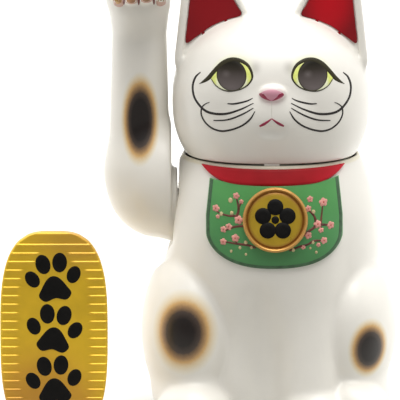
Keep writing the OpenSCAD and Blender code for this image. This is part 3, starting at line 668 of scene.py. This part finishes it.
halves("body", body, (-52, -50, -4), (52, 48, 106), 1.0 * COARSE, [(0, -1), (NECK, 1)], body_white, "body")
halves("head", head, (-41, -45, 97), (41, 41, 186), 0.7 * COARSE, [(HEAD, -1)], head_white, "head")
halves("arm", arm, (ARM - 29, -24, 62), (ARM + 4, 23, 187), 0.6 * COARSE, [], arm_white, "arm")

# ---- neck ring, and the tab that keys the head
def ring_mesh(name, profile, centre):
    """A closed ring turned about the Z axis. profile rows are (radius, height), anticlockwise."""
    m, steps = len(profile), 96
    points = [(centre[0] + r * math.cos(a), centre[1] + r * math.sin(a), centre[2] + z)
              for a in np.arange(steps) * 2 * math.pi / steps for r, z in profile]
    faces = [[i * m + j, ((i + 1) % steps) * m + j, ((i + 1) % steps) * m + (j + 1) % m, i * m + (j + 1) % m]
             for i in range(steps) for j in range(m)]
    me = mesh_of(name, points, faces)
    smooth(me, 35)
    return me


def box_mesh(name, low, high, round_by):
    bm = bmesh.new()
    bmesh.ops.create_cube(bm, size=1)
    low, high = Vector(low) * MM, Vector(high) * MM
    for v in bm.verts:
        v.co = Vector((low[i] + (high[i] - low[i]) * (v.co[i] + 0.5) for i in range(3)))
    bmesh.ops.bevel(bm, geom=bm.edges[:], offset=round_by * MM, segments=3, affect="EDGES", profile=0.5)
    me = bpy.data.meshes.new(name)
    bm.to_mesh(me)
    bm.free()
    smooth(me, 35)
    return me


ring_profile = [(28.4, -5.8), (30.2, -5.8), (30.4, -5.6), (30.4, 0), (32.0, 0.02), (32.2, 0.2), (32.2, 0.5),
                (32.0, 0.68), (30.4, 0.7), (30.4, 7.4), (29.9, 8), (28.8, 8), (28.4, 7.6)]
# the neck ring's grey is painted shade for the gap under the head
add("neck_ring_painted_shade", ring_mesh("neck_ring_painted_shade", ring_profile, (0, 0, NECK)), PLAIN["ring_plastic"], "body",
    ["neck_ring"])
add("chin_tab", box_mesh("chin_tab", (-2.9, -33.0, NECK + 0.03), (2.9, -31.6, HEAD - 0.03), 0.12),
    head_white, "body")

# ---- collar and bib
SOFT_EDGE = 0.9
COLUMNS, BIB_ROWS, COLLAR_ROWS = 64, 48, 20
BIB_HALF = 25.9    # half width of the bib


def plate(name, columns, rows, place, thick, material, node):
    """A raised plate on the body with rounded borders. place gives x, z and the border distance."""
    grid = [[place(i, j) for j in range(columns + 1)] for i in range(rows + 1)]
    flat = np.array(grid).reshape(-1, 3)
    p, n = from_front(body, flat[:, 0], flat[:, 1])
    t = np.clip(flat[:, 2] / SOFT_EDGE, 0, 1)
    top = p + n * (0.12 + (thick - 0.12) * np.sqrt(1 - (1 - t) ** 2))[:, None]
    low = p - n * 0.3
    k, w = len(p), columns + 1
    faces = []
    for i in range(rows):
        for j in range(columns):
            a = i * w + j
            faces += [[a, a + 1, a + w + 1, a + w], [k + a, k + a + w, k + a + w + 1, k + a + 1]]
    border = (list(range(w)) + [i * w + columns for i in range(1, rows + 1)]
              + [rows * w + j for j in range(columns - 1, -1, -1)] + [i * w for i in range(rows - 1, 0, -1)])
    faces += [[a, k + a, k + b, b] for a, b in zip(border, border[1:] + border[:1])]
    me = mesh_of(name, np.concatenate([top, low]), faces)
    face_outward(me)
    smooth(me, 70)
    return add(name, me, material, "body", [node])


def bib_place(i, j):
    u = math.sin(math.pi / 2 * (2 * j / COLUMNS - 1))
    t = (1 - math.cos(math.pi * i / BIB_ROWS)) / 2
    foot = 78 - 15.2 * max(1 - abs(u) ** 2.5, 0) ** 0.4
    x0 = 1.2 + u * 24.9
    w = math.degrees(math.asin(min(0.95, abs(x0) / 35))) / 52
    top = 93.6 + 2.8 * w * w
    z = foot + (top - foot) * t
    x = 1.0 + u * (BIB_HALF - 1.5 * max(0, z - 82) / 14)
    return x, z, min((1 - abs(u)) * BIB_HALF, (z - foot) * 0.8, top - z + 0.4)


def collar_place(i, j):
    s = math.sin(math.pi / 2 * (2 * j / COLUMNS - 1))
    x = 0.6 + 26.9 * s
    low = 93.5 + 6.0 * abs(s) ** 5
    high = 99.7 + 0.2 * s * s
    t = (1 - math.cos(math.pi * i / COLLAR_ROWS)) / 2
    z = low + (high - low) * t
    return x, z, min((1 - abs(s)) * 27, z - low, high - z)


plate("bib_plate", COLUMNS, BIB_ROWS, bib_place, 1.0, bib_green, "bib")
plate("collar_band", COLUMNS, COLLAR_ROWS, collar_place, 1.55, collar_red, "collar")
chest = on(bib_face)
edge = Paint(chest)
rim = [(bib_place(i, 0)[0] + 0.55, bib_place(i, 0)[1]) for i in range(44, 2, -6)]
rim += [(bib_place(0, j)[0] * 0.985, bib_place(0, j)[1] + 0.65) for j in range(3, 62, 3)]
rim += [(bib_place(i, COLUMNS)[0] - 0.55, bib_place(i, COLUMNS)[1]) for i in range(3, 46, 6)]
edge.stroke([(x, z, 0.62) for x, z in rim], lift=0.09)
edge.make("bib_outline", bib_edge, "body", "bib_green")

twigs = Paint(chest)
TWIGS = [
    [(-10.6, 79.1, 0.5), (-14.3, 78.5, 0.42), (-17.9, 76.9, 0.25)],
    [(-12.0, 81.4, 0.5), (-13.6, 82.6, 0.45), (-16.2, 82.5, 0.4), (-19.2, 83.0, 0.35), (-21.2, 83.9, 0.25)],
    [(-13.3, 82.6, 0.5), (-12.7, 85.4, 0.5), (-13.4, 88.9, 0.3)],
    [(-12.7, 85.6, 0.35), (-11.8, 87.6, 0.25)],
    [(-6.2, 70.9, 0.4), (-9.2, 71.8, 0.45), (-13.7, 72.2, 0.4), (-18.3, 72.7, 0.25)],
    [(-13.6, 72.4, 0.3), (-13.8, 74.2, 0.25)],
    [(11.8, 75.4, 0.5), (14.4, 77.2, 0.5), (16.4, 78.8, 0.5), (16.3, 82.0, 0.45), (13.9, 84.9, 0.28)],
    [(16.3, 78.7, 0.55), (18.7, 79.1, 0.5), (22.3, 78.7, 0.3)],
    [(18.6, 79.1, 0.45), (18.9, 82.2, 0.35), (19.4, 86.6, 0.25)],
    [(16.2, 81.8, 0.3), (15.7, 83.9, 0.22)],
    [(6.6, 69.8, 0.35), (10.3, 71.1, 0.45), (13.8, 72.0, 0.42), (16.0, 73.2, 0.42), (19.9, 73.1, 0.28)],
    [(18.7, 78.9, 0.3), (18.7, 77.2, 0.22)],
]
for path in TWIGS:
    twigs.stroke(path, lift=0.16, step=0.4)
twigs.make("bib_twigs", branch, "body", "bib_green")

blooms, hearts, buds = Paint(chest), Paint(chest), Paint(chest)
BLOOMS = [(-13.6, 90.0, 1.35), (-21.3, 84.9, 1.45), (-12.7, 81.2, 1.75), (-16.4, 78.4, 1.35),
          (-18.4, 77.3, 1.3), (-13.9, 74.3, 1.6), (-18.5, 72.6, 1.35), (-11.7, 88.0, 0.95),
          (-20.6, 81.9, 0.85), (14.5, 88.8, 1.25), (19.6, 87.3, 1.7), (13.8, 85.3, 1.3),
          (17.4, 79.4, 1.6), (22.4, 78.6, 1.5), (18.7, 77.1, 1.1), (13.8, 75.4, 1.45), (19.8, 73.1, 1.4),
          (11.9, 71.0, 0.95), (17.7, 71.6, 0.9)]
BUDS = [(-15.8, 88.3, 1.0), (-19.3, 83.0, 0.85), (-15.3, 83.6, 0.8), (-10.0, 72.8, 0.8), (-7.8, 71.1, 0.7),
        (-12.2, 70.7, 0.65), (-15.5, 69.2, 0.6), (-9.9, 68.3, 0.55), (15.8, 84.0, 0.85), (15.6, 72.7, 0.75),
        (8.1, 70.1, 0.8), (14.6, 70.5, 0.5), (16.9, 68.8, 0.6)]


def flower(x, z, r, turn):
    """Outline of a five-petal flower."""
    around = np.arange(40) * 2 * math.pi / 40
    size = r * (0.7 + 0.3 * np.abs(np.cos(2.5 * (around - turn))) ** 0.7)
    return list(zip(x + size * np.cos(around), z + size * np.sin(around)))


for k, (x, z, r) in enumerate(BLOOMS):
    blooms.patch(flower(x, z, r, k * 1.3), lift=0.3, count=40, edge=0.4, step=0.7)
    hearts.patch(circle(x, z, r * 0.26, n=8), lift=0.42, count=12, edge=0.15, step=0.4)
for x, z, r in BUDS:
    buds.patch(circle(x, z, r * 0.85, r, 10), lift=0.24, count=16, edge=0.3, step=0.5)
blooms.make("bib_blooms", petal, "body", "bib_green")
hearts.make("bib_bloom_hearts", petal_heart, "body", "bib_green")
buds.make("bib_buds", bud, "body", "bib_green")

# ---- medal
MEDAL = Vector((1.2, -41.15, 81.5))
TILT = math.radians(79)
turn = Matrix.Translation(MEDAL * MM) @ Matrix.Rotation(TILT, 4, "X")
profile = [(0.0, 1.25), (3.0, 1.24), (6.0, 1.2), (9.0, 1.1), (10.3, 1.02), (10.55, 0.75), (10.8, 0.62),
           (11.0, 0.75), (11.15, 1.35), (11.35, 1.68), (11.65, 1.82), (11.9, 1.68), (12.0, 1.4),
           (12.1, 1.3), (12.3, 1.22), (12.4, 1.0), (12.4, -1.2), (12.2, -1.5), (0.0, -1.5)]
steps = 120
rings = [[(r * math.cos(a), r * math.sin(a), z) for a in np.arange(steps) * 2 * math.pi / steps]
         for r, z in profile[1:-1]]
points = [(0, 0, profile[0][1])] + [q for r in rings for q in r] + [(0, 0, profile[-1][1])]
faces = [[0, 1 + j, 1 + (j + 1) % steps] for j in range(steps)]
for i in range(len(rings) - 1):
    a = 1 + i * steps
    faces += [[a + j, a + steps + j, a + steps + (j + 1) % steps, a + (j + 1) % steps] for j in range(steps)]
a = 1 + (len(rings) - 1) * steps
faces += [[a + (j + 1) % steps, a + j, len(points) - 1] for j in range(steps)]
me = mesh_of("medal_disc", points, faces)
me.transform(turn)
smooth(me, 50)
add("medal_disc", me, medal_gold, "body", ["medal"])


def on_medal(x, z):
    """Places medal coordinates, right and up from its middle, on its face."""
    p = np.stack([x, z, 1.25 - 0.0025 * (x * x + z * z)], -1) * MM
    out = np.array([(turn @ Vector(v))[:] for v in p]) / MM
    normal = turn.to_3x3() @ Vector((0, 0, 1))
    return out, np.broadcast_to(np.array(normal), out.shape)


mark = Paint(on_medal)
for k in range(5):
    a = math.radians(90 + 72 * k)
    x, z = 4.9 * math.cos(a), 4.9 * math.sin(a)
    mark.patch([(x + 3.15 * math.cos(b), z + 3.15 * math.sin(b)) for b in np.arange(20) * math.pi / 10],
               lift=0.3, count=32, edge=0.3)
mark.patch(circle(0, 0, 1.5), lift=0.34, count=24, edge=0.3)
mark.make("medal_blossom", black, "body", "medal_gold")

# ---- face
face = on(head)
EYE_X, EYE_Z, PUPIL = 15.4, 135.9, 5.5
for side, tag in ((-1, "right"), (1, "left")):
    def mirrored(points):
        return [(side * q[0],) + tuple(q[1:]) for q in points]
    white = Paint(face)
    white.patch(mirrored([
        (7.5, 135.2), (7.9, 138.0), (9.6, 140.2), (12.3, 141.3), (15.4, 141.4), (18.5, 140.2), (21.2, 137.4),
        (23.2, 134.4), (21.4, 131.8), (19.0, 130.5), (16.4, 130.1), (13.3, 130.5), (10.7, 131.7),
        (8.8, 133.2)]), lift=0.07, centre=(side * 15.2, 135.6))
    white.make(f"eye_{tag}_white", sclera, "head", "white_plastic")
    iris = Paint(face)
    iris.patch(circle(side * EYE_X, EYE_Z, PUPIL, 5.6, 24), lift=0.13, count=72)
    iris.make(f"eye_{tag}_pupil", pupil, "head", "white_plastic")
    lid = Paint(face)
    lid.stroke(mirrored([
        (27.6, 131.8, 0.06), (25.8, 133.0, 0.5), (23.9, 134.6, 0.78), (21.5, 137.4, 0.82),
        (18.9, 139.9, 0.86), (15.8, 141.4, 0.82), (12.6, 141.4, 0.76), (9.7, 140.1, 0.64),
        (8.1, 137.9, 0.54), (7.6, 135.4, 0.4), (8.8, 133.2, 0.3), (10.8, 131.6, 0.26),
        (13.4, 130.6, 0.28), (16.5, 130.1, 0.28), (19.2, 130.6, 0.24), (21.5, 132.0, 0.2),
        (23.0, 134.0, 0.18)]), lift=0.2, step=0.35)
    ring = circle(side * EYE_X, EYE_Z, PUPIL, 5.55, 36)
    lid.stroke([(x, z, 0.2) for x, z in ring + ring[:2]], lift=0.19, step=0.35)
    lid.make(f"eye_{tag}_lid", lid_ink, "head", "black_plastic")

snout = Paint(face)
snout.patch([(-4.9, 129.5), (-3.0, 131.0), (-0.2, 131.7), (2.6, 131.0), (4.4, 129.6), (3.5, 128.2),
             (1.8, 127.5), (-0.2, 126.9), (-2.2, 127.5), (-4.1, 128.1)],
            lift=0.1, centre=(-0.2, 129.4), edge=0.5)
snout.make("nose_tip", nose_paint_and_light, "head", "white_plastic")
lips = Paint(face)
lips.stroke([(-4.9, 129.3, 0.35), (-4.1, 129.3, 0.9), (-3.3, 128.7, 0.8), (-2.3, 128.0, 0.5),
             (-0.7, 127.2, 0.16)], lift=0.16, step=0.3)
lips.stroke([(4.3, 129.5, 0.35), (3.5, 129.5, 0.9), (2.6, 128.9, 0.8), (1.6, 128.1, 0.5), (0.1, 127.2, 0.16)],
            lift=0.16, step=0.3)
lips.stroke([(-0.2, 120.5, 0.16), (-1.7, 119.3, 0.4), (-3.3, 118.2, 0.55), (-4.8, 117.4, 0.35)],
            lift=0.15, step=0.3)
lips.stroke([(-0.2, 120.5, 0.16), (1.3, 119.3, 0.4), (2.8, 118.3, 0.55), (4.4, 117.5, 0.35)],
            lift=0.15, step=0.3)
lips.make("nostrils_and_mouth", magenta, "head", "white_plastic")
# painted shade of the crease between the nose and the mouth
groove = Paint(face)
groove.stroke([(-0.2, 126.8, 0.12), (-0.25, 124, 0.16), (-0.2, 120.8, 0.12)], lift=0.03)
groove.make("lip_crease_shade", painted_crease_shade, "head", "white_plastic")

WHISKERS = [
    [(7.4, 127.9, 0.12), (9.3, 126.9, 0.28), (12.1, 126.0, 0.33), (14.8, 125.4, 0.32), (16.9, 125.4, 0.2)],
    [(7.1, 126.1, 0.15), (12.6, 123.3, 0.33), (18.4, 121.3, 0.45), (24.9, 121.7, 0.48), (29.1, 125.6, 0.43),
     (30.2, 130.0, 0.4), (29.2, 133.8, 0.35), (27.2, 136.0, 0.18)],
    [(7.2, 124.3, 0.15), (10.4, 122.3, 0.28), (14.4, 120.2, 0.33), (17.8, 119.0, 0.3), (22.2, 118.5, 0.2)],
    [(6.6, 123.1, 0.15), (8.3, 120.2, 0.33), (11.0, 117.7, 0.35), (14.0, 116.0, 0.36), (16.8, 115.0, 0.38),
     (19.6, 114.6, 0.38), (22.8, 115.4, 0.36), (25.5, 117.5, 0.33), (26.9, 120.3, 0.3), (26.7, 123.0, 0.26),
     (25.2, 124.6, 0.2), (23.8, 125.3, 0.12)],
]
for side, tag in ((-1, "right"), (1, "left")):
    whiskers = Paint(face)
    for path in WHISKERS:
        whiskers.stroke([(side * x, z, w) for x, z, w in path], lift=0.16, step=0.4)
    whiskers.make(f"whiskers_{tag}", ink, "head", "black_plastic")

# ---- ears
def on_ear(x, z):
    """The ear's front plane, leaning back a little."""
    q = np.stack([x, -ear_front(z - HEAD) - 0.05, z], -1)
    lean = np.array([0, -7, 1]) / math.sqrt(50)
    return q, np.broadcast_to(lean, q.shape)


for side, tag in ((-1, "right"), (1, "left")):
    inside = [(ear_inner(z) + 3.0, z) for z in np.linspace(53.8, 77.2, 8)]
    outside = [(ear_outer(z) - 3.3, z) for z in np.linspace(77.0, 44.4, 6)]
    foot = [(32.3, 43.0), (29.9, 44.7), (27.4, 46.4), (24.6, 48.5), (21.6, 50.2), (17.0, 52.0)]
    outline = [(side * x, z + HEAD) for x, z in inside + outside + foot]
    red = Paint(on_ear)
    red.patch(outline, lift=0.75, count=120, centre=(side * 23, HEAD + 56), edge=0.35)
    for x, z in ((26.0, 46.6), (17.4, 51.2)):
        red.patch(circle(side * x, HEAD + z, 0.75, 1.0, 10), lift=0.7, count=16, edge=0.2)
    red.make(f"ear_plate_{tag}", ear_red, "head", "ear_red")
    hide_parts(f"ear_insert_{tag}")

# ---- paws
palm = on(arm)
pink, gold, lines = Paint(palm), Paint(palm), Paint(palm)
NAILS = [(-58.6, 1.35, 160.0), (-53.7, 1.75, 161.6), (-47.9, 1.6, 162.3), (-42.3, 1.2, 160.2)]
for x, half, low in NAILS:
    top = low + 9.5
    mid = (x, (low + top) / 2)
    for paint, grow, lift in ((pink, 0.6, 0.08), (gold, 0.0, 0.2)):
        w, b = half + grow, low - grow
        paint.patch([(x - w, top), (x - w, b + 1.6), (x - w * 0.6, b + 0.3), (x, b), (x + w * 0.6, b + 0.3),
                     (x + w, b + 1.6), (x + w, top), (x + w * 0.6, top + 1.4 + grow), (x, top + 2 + grow),
                     (x - w * 0.6, top + 1.4 + grow)], lift=lift, centre=mid, edge=0.4)
for x in (-56.5, -50.8, -45.0):
    lines.stroke([(x, 160.6, 0.15), (x, 162.2, 0.5), (x, 166, 0.6), (x, 171, 0.55), (x, 175, 0.2)], lift=0.14)
pink.make("finger_tips", nail_pink, "arm", "white_plastic")
gold.make("finger_nails", nail_gold, "arm", "coin_gold")
lines.make("finger_lines", claw_red, "arm", "black_plastic")

feet = on(body)
toes = Paint(feet)
for x, z in ((-33.2, 8.2), (-26.6, 8.2), (12.6, 6.4), (19.2, 6.4), (33.0, 7.2), (39.4, 7.6)):
    toes.stroke([(x, z, 0.15), (x + 0.05, z - 1.4, 0.42), (x + 0.1, z - 3.2, 0.34), (x + 0.1, z - 5, 0.12)],
                lift=0.14, step=0.3)
toes.make("toe_lines", claw_red, "body", "black_plastic")

# ---- coin
COIN = (-83.0, -42.5, 38.3)    # middle of the back face
HALF_W, HALF_H, THICK = 20.5, 39.5, 5.0
ROUND, PITCH = 1.1, 3.3
MARGIN = 6.4    # width of the ridged border
FOOT = -38.3    # height of the flat foot


def half_width(z):
    s = min(abs(z) / HALF_H, 1) ** (1 / 0.65)
    return HALF_W * max(1 - s * s, 0) ** 0.325


ridge_z = np.arange(-HALF_H + 4.9, HALF_H - 1.6, PITCH)
fine = np.array([-0.62, -0.42, -0.28, -0.12, 0.0, 0.12, 0.28, 0.42, 0.62, 1.0, 1.35])
rows = sorted(set(np.round(np.concatenate([
    (ridge_z[:, None] + fine).ravel(), np.linspace(FOOT, FOOT + 1.1, 6),
    HALF_H - 0.02 - 1.6 * (1 - np.cos(np.linspace(0, 1.5, 9)))]), 3)))
rows = [z for z in rows if FOOT <= z <= HALF_H - 0.01]
across = [-math.cos(math.pi * k / 72) for k in range(73)]


def coin_front(x, z):
    """Height of the coin's face above its middle plane, in mm. x and z run from its middle."""
    w = np.array([half_width(v) for v in z])
    near = np.min(np.abs(z[:, None] - ridge_z[None]), axis=1)
    ridge = np.exp(-(near / 0.34) ** 2)
    below_top = np.clip((HALF_H - MARGIN - z) / 1.4, 0, 1)
    smooth_centre = np.clip((w - MARGIN - np.abs(x)) / 1.2, 0, 1) * below_top
    top_line = z > HALF_H - 13
    arch = np.clip((w - 10.5 - np.abs(x)) / 1.2, 0, 1)
    clear = np.where(top_line, np.minimum(arch, below_top), smooth_centre)
    crown = 0.35 * (1 - (x / HALF_W) ** 2) * (1 - (z / HALF_H) ** 2)
    return THICK - 0.55 + crown * 0.6 + 0.42 * ridge * (1 - clear)


grid = []
for z in rows:
    w = half_width(z)
    for s in across:
        x = s * w
        inset = min(w * (1 - abs(s)), (HALF_H - z), z + 38.9)
        grid.append((x, z, min(max(inset / ROUND, 0), 1)))
grid = np.array(grid)
level = coin_front(grid[:, 0], grid[:, 1])
soft = np.sqrt(1 - (1 - grid[:, 2]) ** 2)
front_y = -(level - ROUND * (1 - soft))
back_y = -ROUND * 0.5 * (1 - soft)
k, w = len(grid), len(across)
points = np.concatenate([np.stack([grid[:, 0], front_y, grid[:, 1]], -1),
                         np.stack([grid[:, 0], np.minimum(back_y, -0.02), grid[:, 1]], -1)]) + np.array(COIN)
faces = []
for i in range(len(rows) - 1):
    for j in range(w - 1):
        a = i * w + j
        faces += [[a, a + 1, a + w + 1, a + w], [k + a, k + a + w, k + a + w + 1, k + a + 1]]
    faces += [[i * w, (i + 1) * w, k + (i + 1) * w, k + i * w],
              [i * w + w - 1, k + i * w + w - 1, k + (i + 1) * w + w - 1, (i + 1) * w + w - 1]]
last = (len(rows) - 1) * w
for j in range(w - 1):
    faces += [[j, k + j, k + j + 1, j + 1], [last + j, last + j + 1, k + last + j + 1, k + last + j]]
me = mesh_of("coin_plate", points, faces)
face_outward(me)
smooth(me, 40)
add("coin_plate", me, coin_gold, "coin", ["koban"])


def on_coin(x, z):
    local = coin_front(x - COIN[0], z - COIN[2])
    p = np.stack([x, COIN[1] - local, z], -1)
    return p, np.broadcast_to(np.array([0.0, -1, 0]), p.shape)


stamp = Paint(on_coin)


def paw(paint, x, z, size, tilt, lift):
    """A paw print: one rounded pad and four toes."""
    def at(points):
        c, s = math.cos(tilt), math.sin(tilt)
        return [(x + size * (c * a - s * b), z + size * (s * a + c * b)) for a, b in points]
    pad = [(-0.52, -0.42), (-0.66, -0.72), (-0.42, -0.96), (0, -0.86), (0.42, -0.96), (0.66, -0.72),
           (0.52, -0.42), (0.26, -0.06), (0, 0.06), (-0.26, -0.06)]
    paint.patch(at(pad), lift=lift, count=64, edge=0.4)
    for a, b, r, lean in ((-0.84, 0.02, 0.27, 0.5), (-0.34, 0.58, 0.3, 0.15), (0.34, 0.58, 0.3, -0.15),
                          (0.84, 0.02, 0.27, -0.5)):
        toe = [(a + r * math.cos(q) * math.cos(lean) - 1.35 * r * math.sin(q) * math.sin(lean),
                b + r * math.cos(q) * math.sin(lean) + 1.35 * r * math.sin(q) * math.cos(lean))
               for q in np.arange(16) * math.pi / 8]
        paint.patch(at(toe), lift=lift, count=32, edge=0.35)


for x, z, tilt in ((-83.2, 60.4, 0.12), (-82.8, 40.6, -0.1), (-83.1, 20.8, 0.08)):
    paw(stamp, x, z, 9.4, tilt, 0.22)
stamp.make("coin_paw_prints", black, "coin", "black_plastic")

# ---- inner and lesser CAD parts
for part in frame["record"]["subparts"]:
    name = part["node"]
    ob = frame["nodes"][name]
    ob.data.materials.clear()
    ob.data.materials.append(PLAIN.get(part["material_slot"], PLAIN["white_plastic"]))

# ---- floor, light and camera
floor = mesh_of("floor", [(-6000, -6000, -0.2), (6000, -6000, -0.2), (6000, 6000, -0.2), (-6000, 6000, -0.2)],
                [[0, 1, 2, 3]])
ground = Finish("floor_paper", (248, 248, 247), rough=0.9, vary=0.0, grain=20, bump=0.0)
# painted shade: the floor paper darkens towards the camera, standing in for the dim front of the light tent
# and the soft shadow in front of the figure
ground.band("Y", [(-400, (120, 119, 117), 1), (-130, (160, 159, 156), 1),
                  (-40, (206, 205, 201), 1), (50, (246, 246, 245), 1)])
stage_floor = bpy.data.objects.new("floor", floor)
bpy.context.scene.collection.objects.link(stage_floor)
floor.materials.append(ground.done())

world = bpy.data.worlds.new("light_tent")
bpy.context.scene.world = world
world.use_nodes = True
sky = world.node_tree
back = sky.nodes["Background"]
coords = sky.nodes.new("ShaderNodeTexCoord")
split = sky.nodes.new("ShaderNodeSeparateXYZ")
sky.links.new(coords.outputs["Generated"], split.inputs[0])
front = sky.nodes.new("ShaderNodeMapRange")
front.interpolation_type = "SMOOTHSTEP"
front.inputs["From Min"].default_value = -0.9
front.inputs["From Max"].default_value = 0.5
front.inputs["To Min"].default_value = 0.11
front.inputs["To Max"].default_value = 1.0
sky.links.new(split.outputs["Y"], front.inputs["Value"])
upper = sky.nodes.new("ShaderNodeMapRange")
upper.inputs["From Min"].default_value = 0.2
upper.inputs["From Max"].default_value = 0.9
upper.inputs["To Max"].default_value = 0.75
sky.links.new(split.outputs["Z"], upper.inputs["Value"])
both = sky.nodes.new("ShaderNodeMath")
sky.links.new(front.outputs[0], both.inputs[0])
sky.links.new(upper.outputs[0], both.inputs[1])
sky.links.new(both.outputs[0], back.inputs["Strength"])
back.inputs["Color"].default_value = (1.0, 0.995, 0.975, 1)

key = bpy.data.lights.new("key", "SUN")
key.energy = 1.85
key.angle = math.radians(40)
key.color = (1.0, 0.985, 0.95)
lamp = bpy.data.objects.new("key", key)
lamp.rotation_euler = (math.radians(13), math.radians(5), 0)
bpy.context.scene.collection.objects.link(lamp)

DISTANCE, ELEVATION = 2000.0, math.radians(10)
AIM = Vector((-27.4, 0, 82.0))
WIDTH = 155.2    # mm across the frame at the aim point
camera = bpy.data.cameras.new("camera")
camera.sensor_width = 36.0
camera.lens = camera.sensor_width * DISTANCE / WIDTH
camera.clip_start, camera.clip_end = 0.05, 50
view = bpy.data.objects.new("camera", camera)
view.location = (AIM + Vector((0, -math.cos(ELEVATION), math.sin(ELEVATION))) * DISTANCE) * MM
view.rotation_euler = (math.pi / 2 - ELEVATION, 0, 0)
bpy.context.scene.collection.objects.link(view)
bpy.context.scene.camera = view
bpy.context.scene.view_settings.view_transform = "Standard"
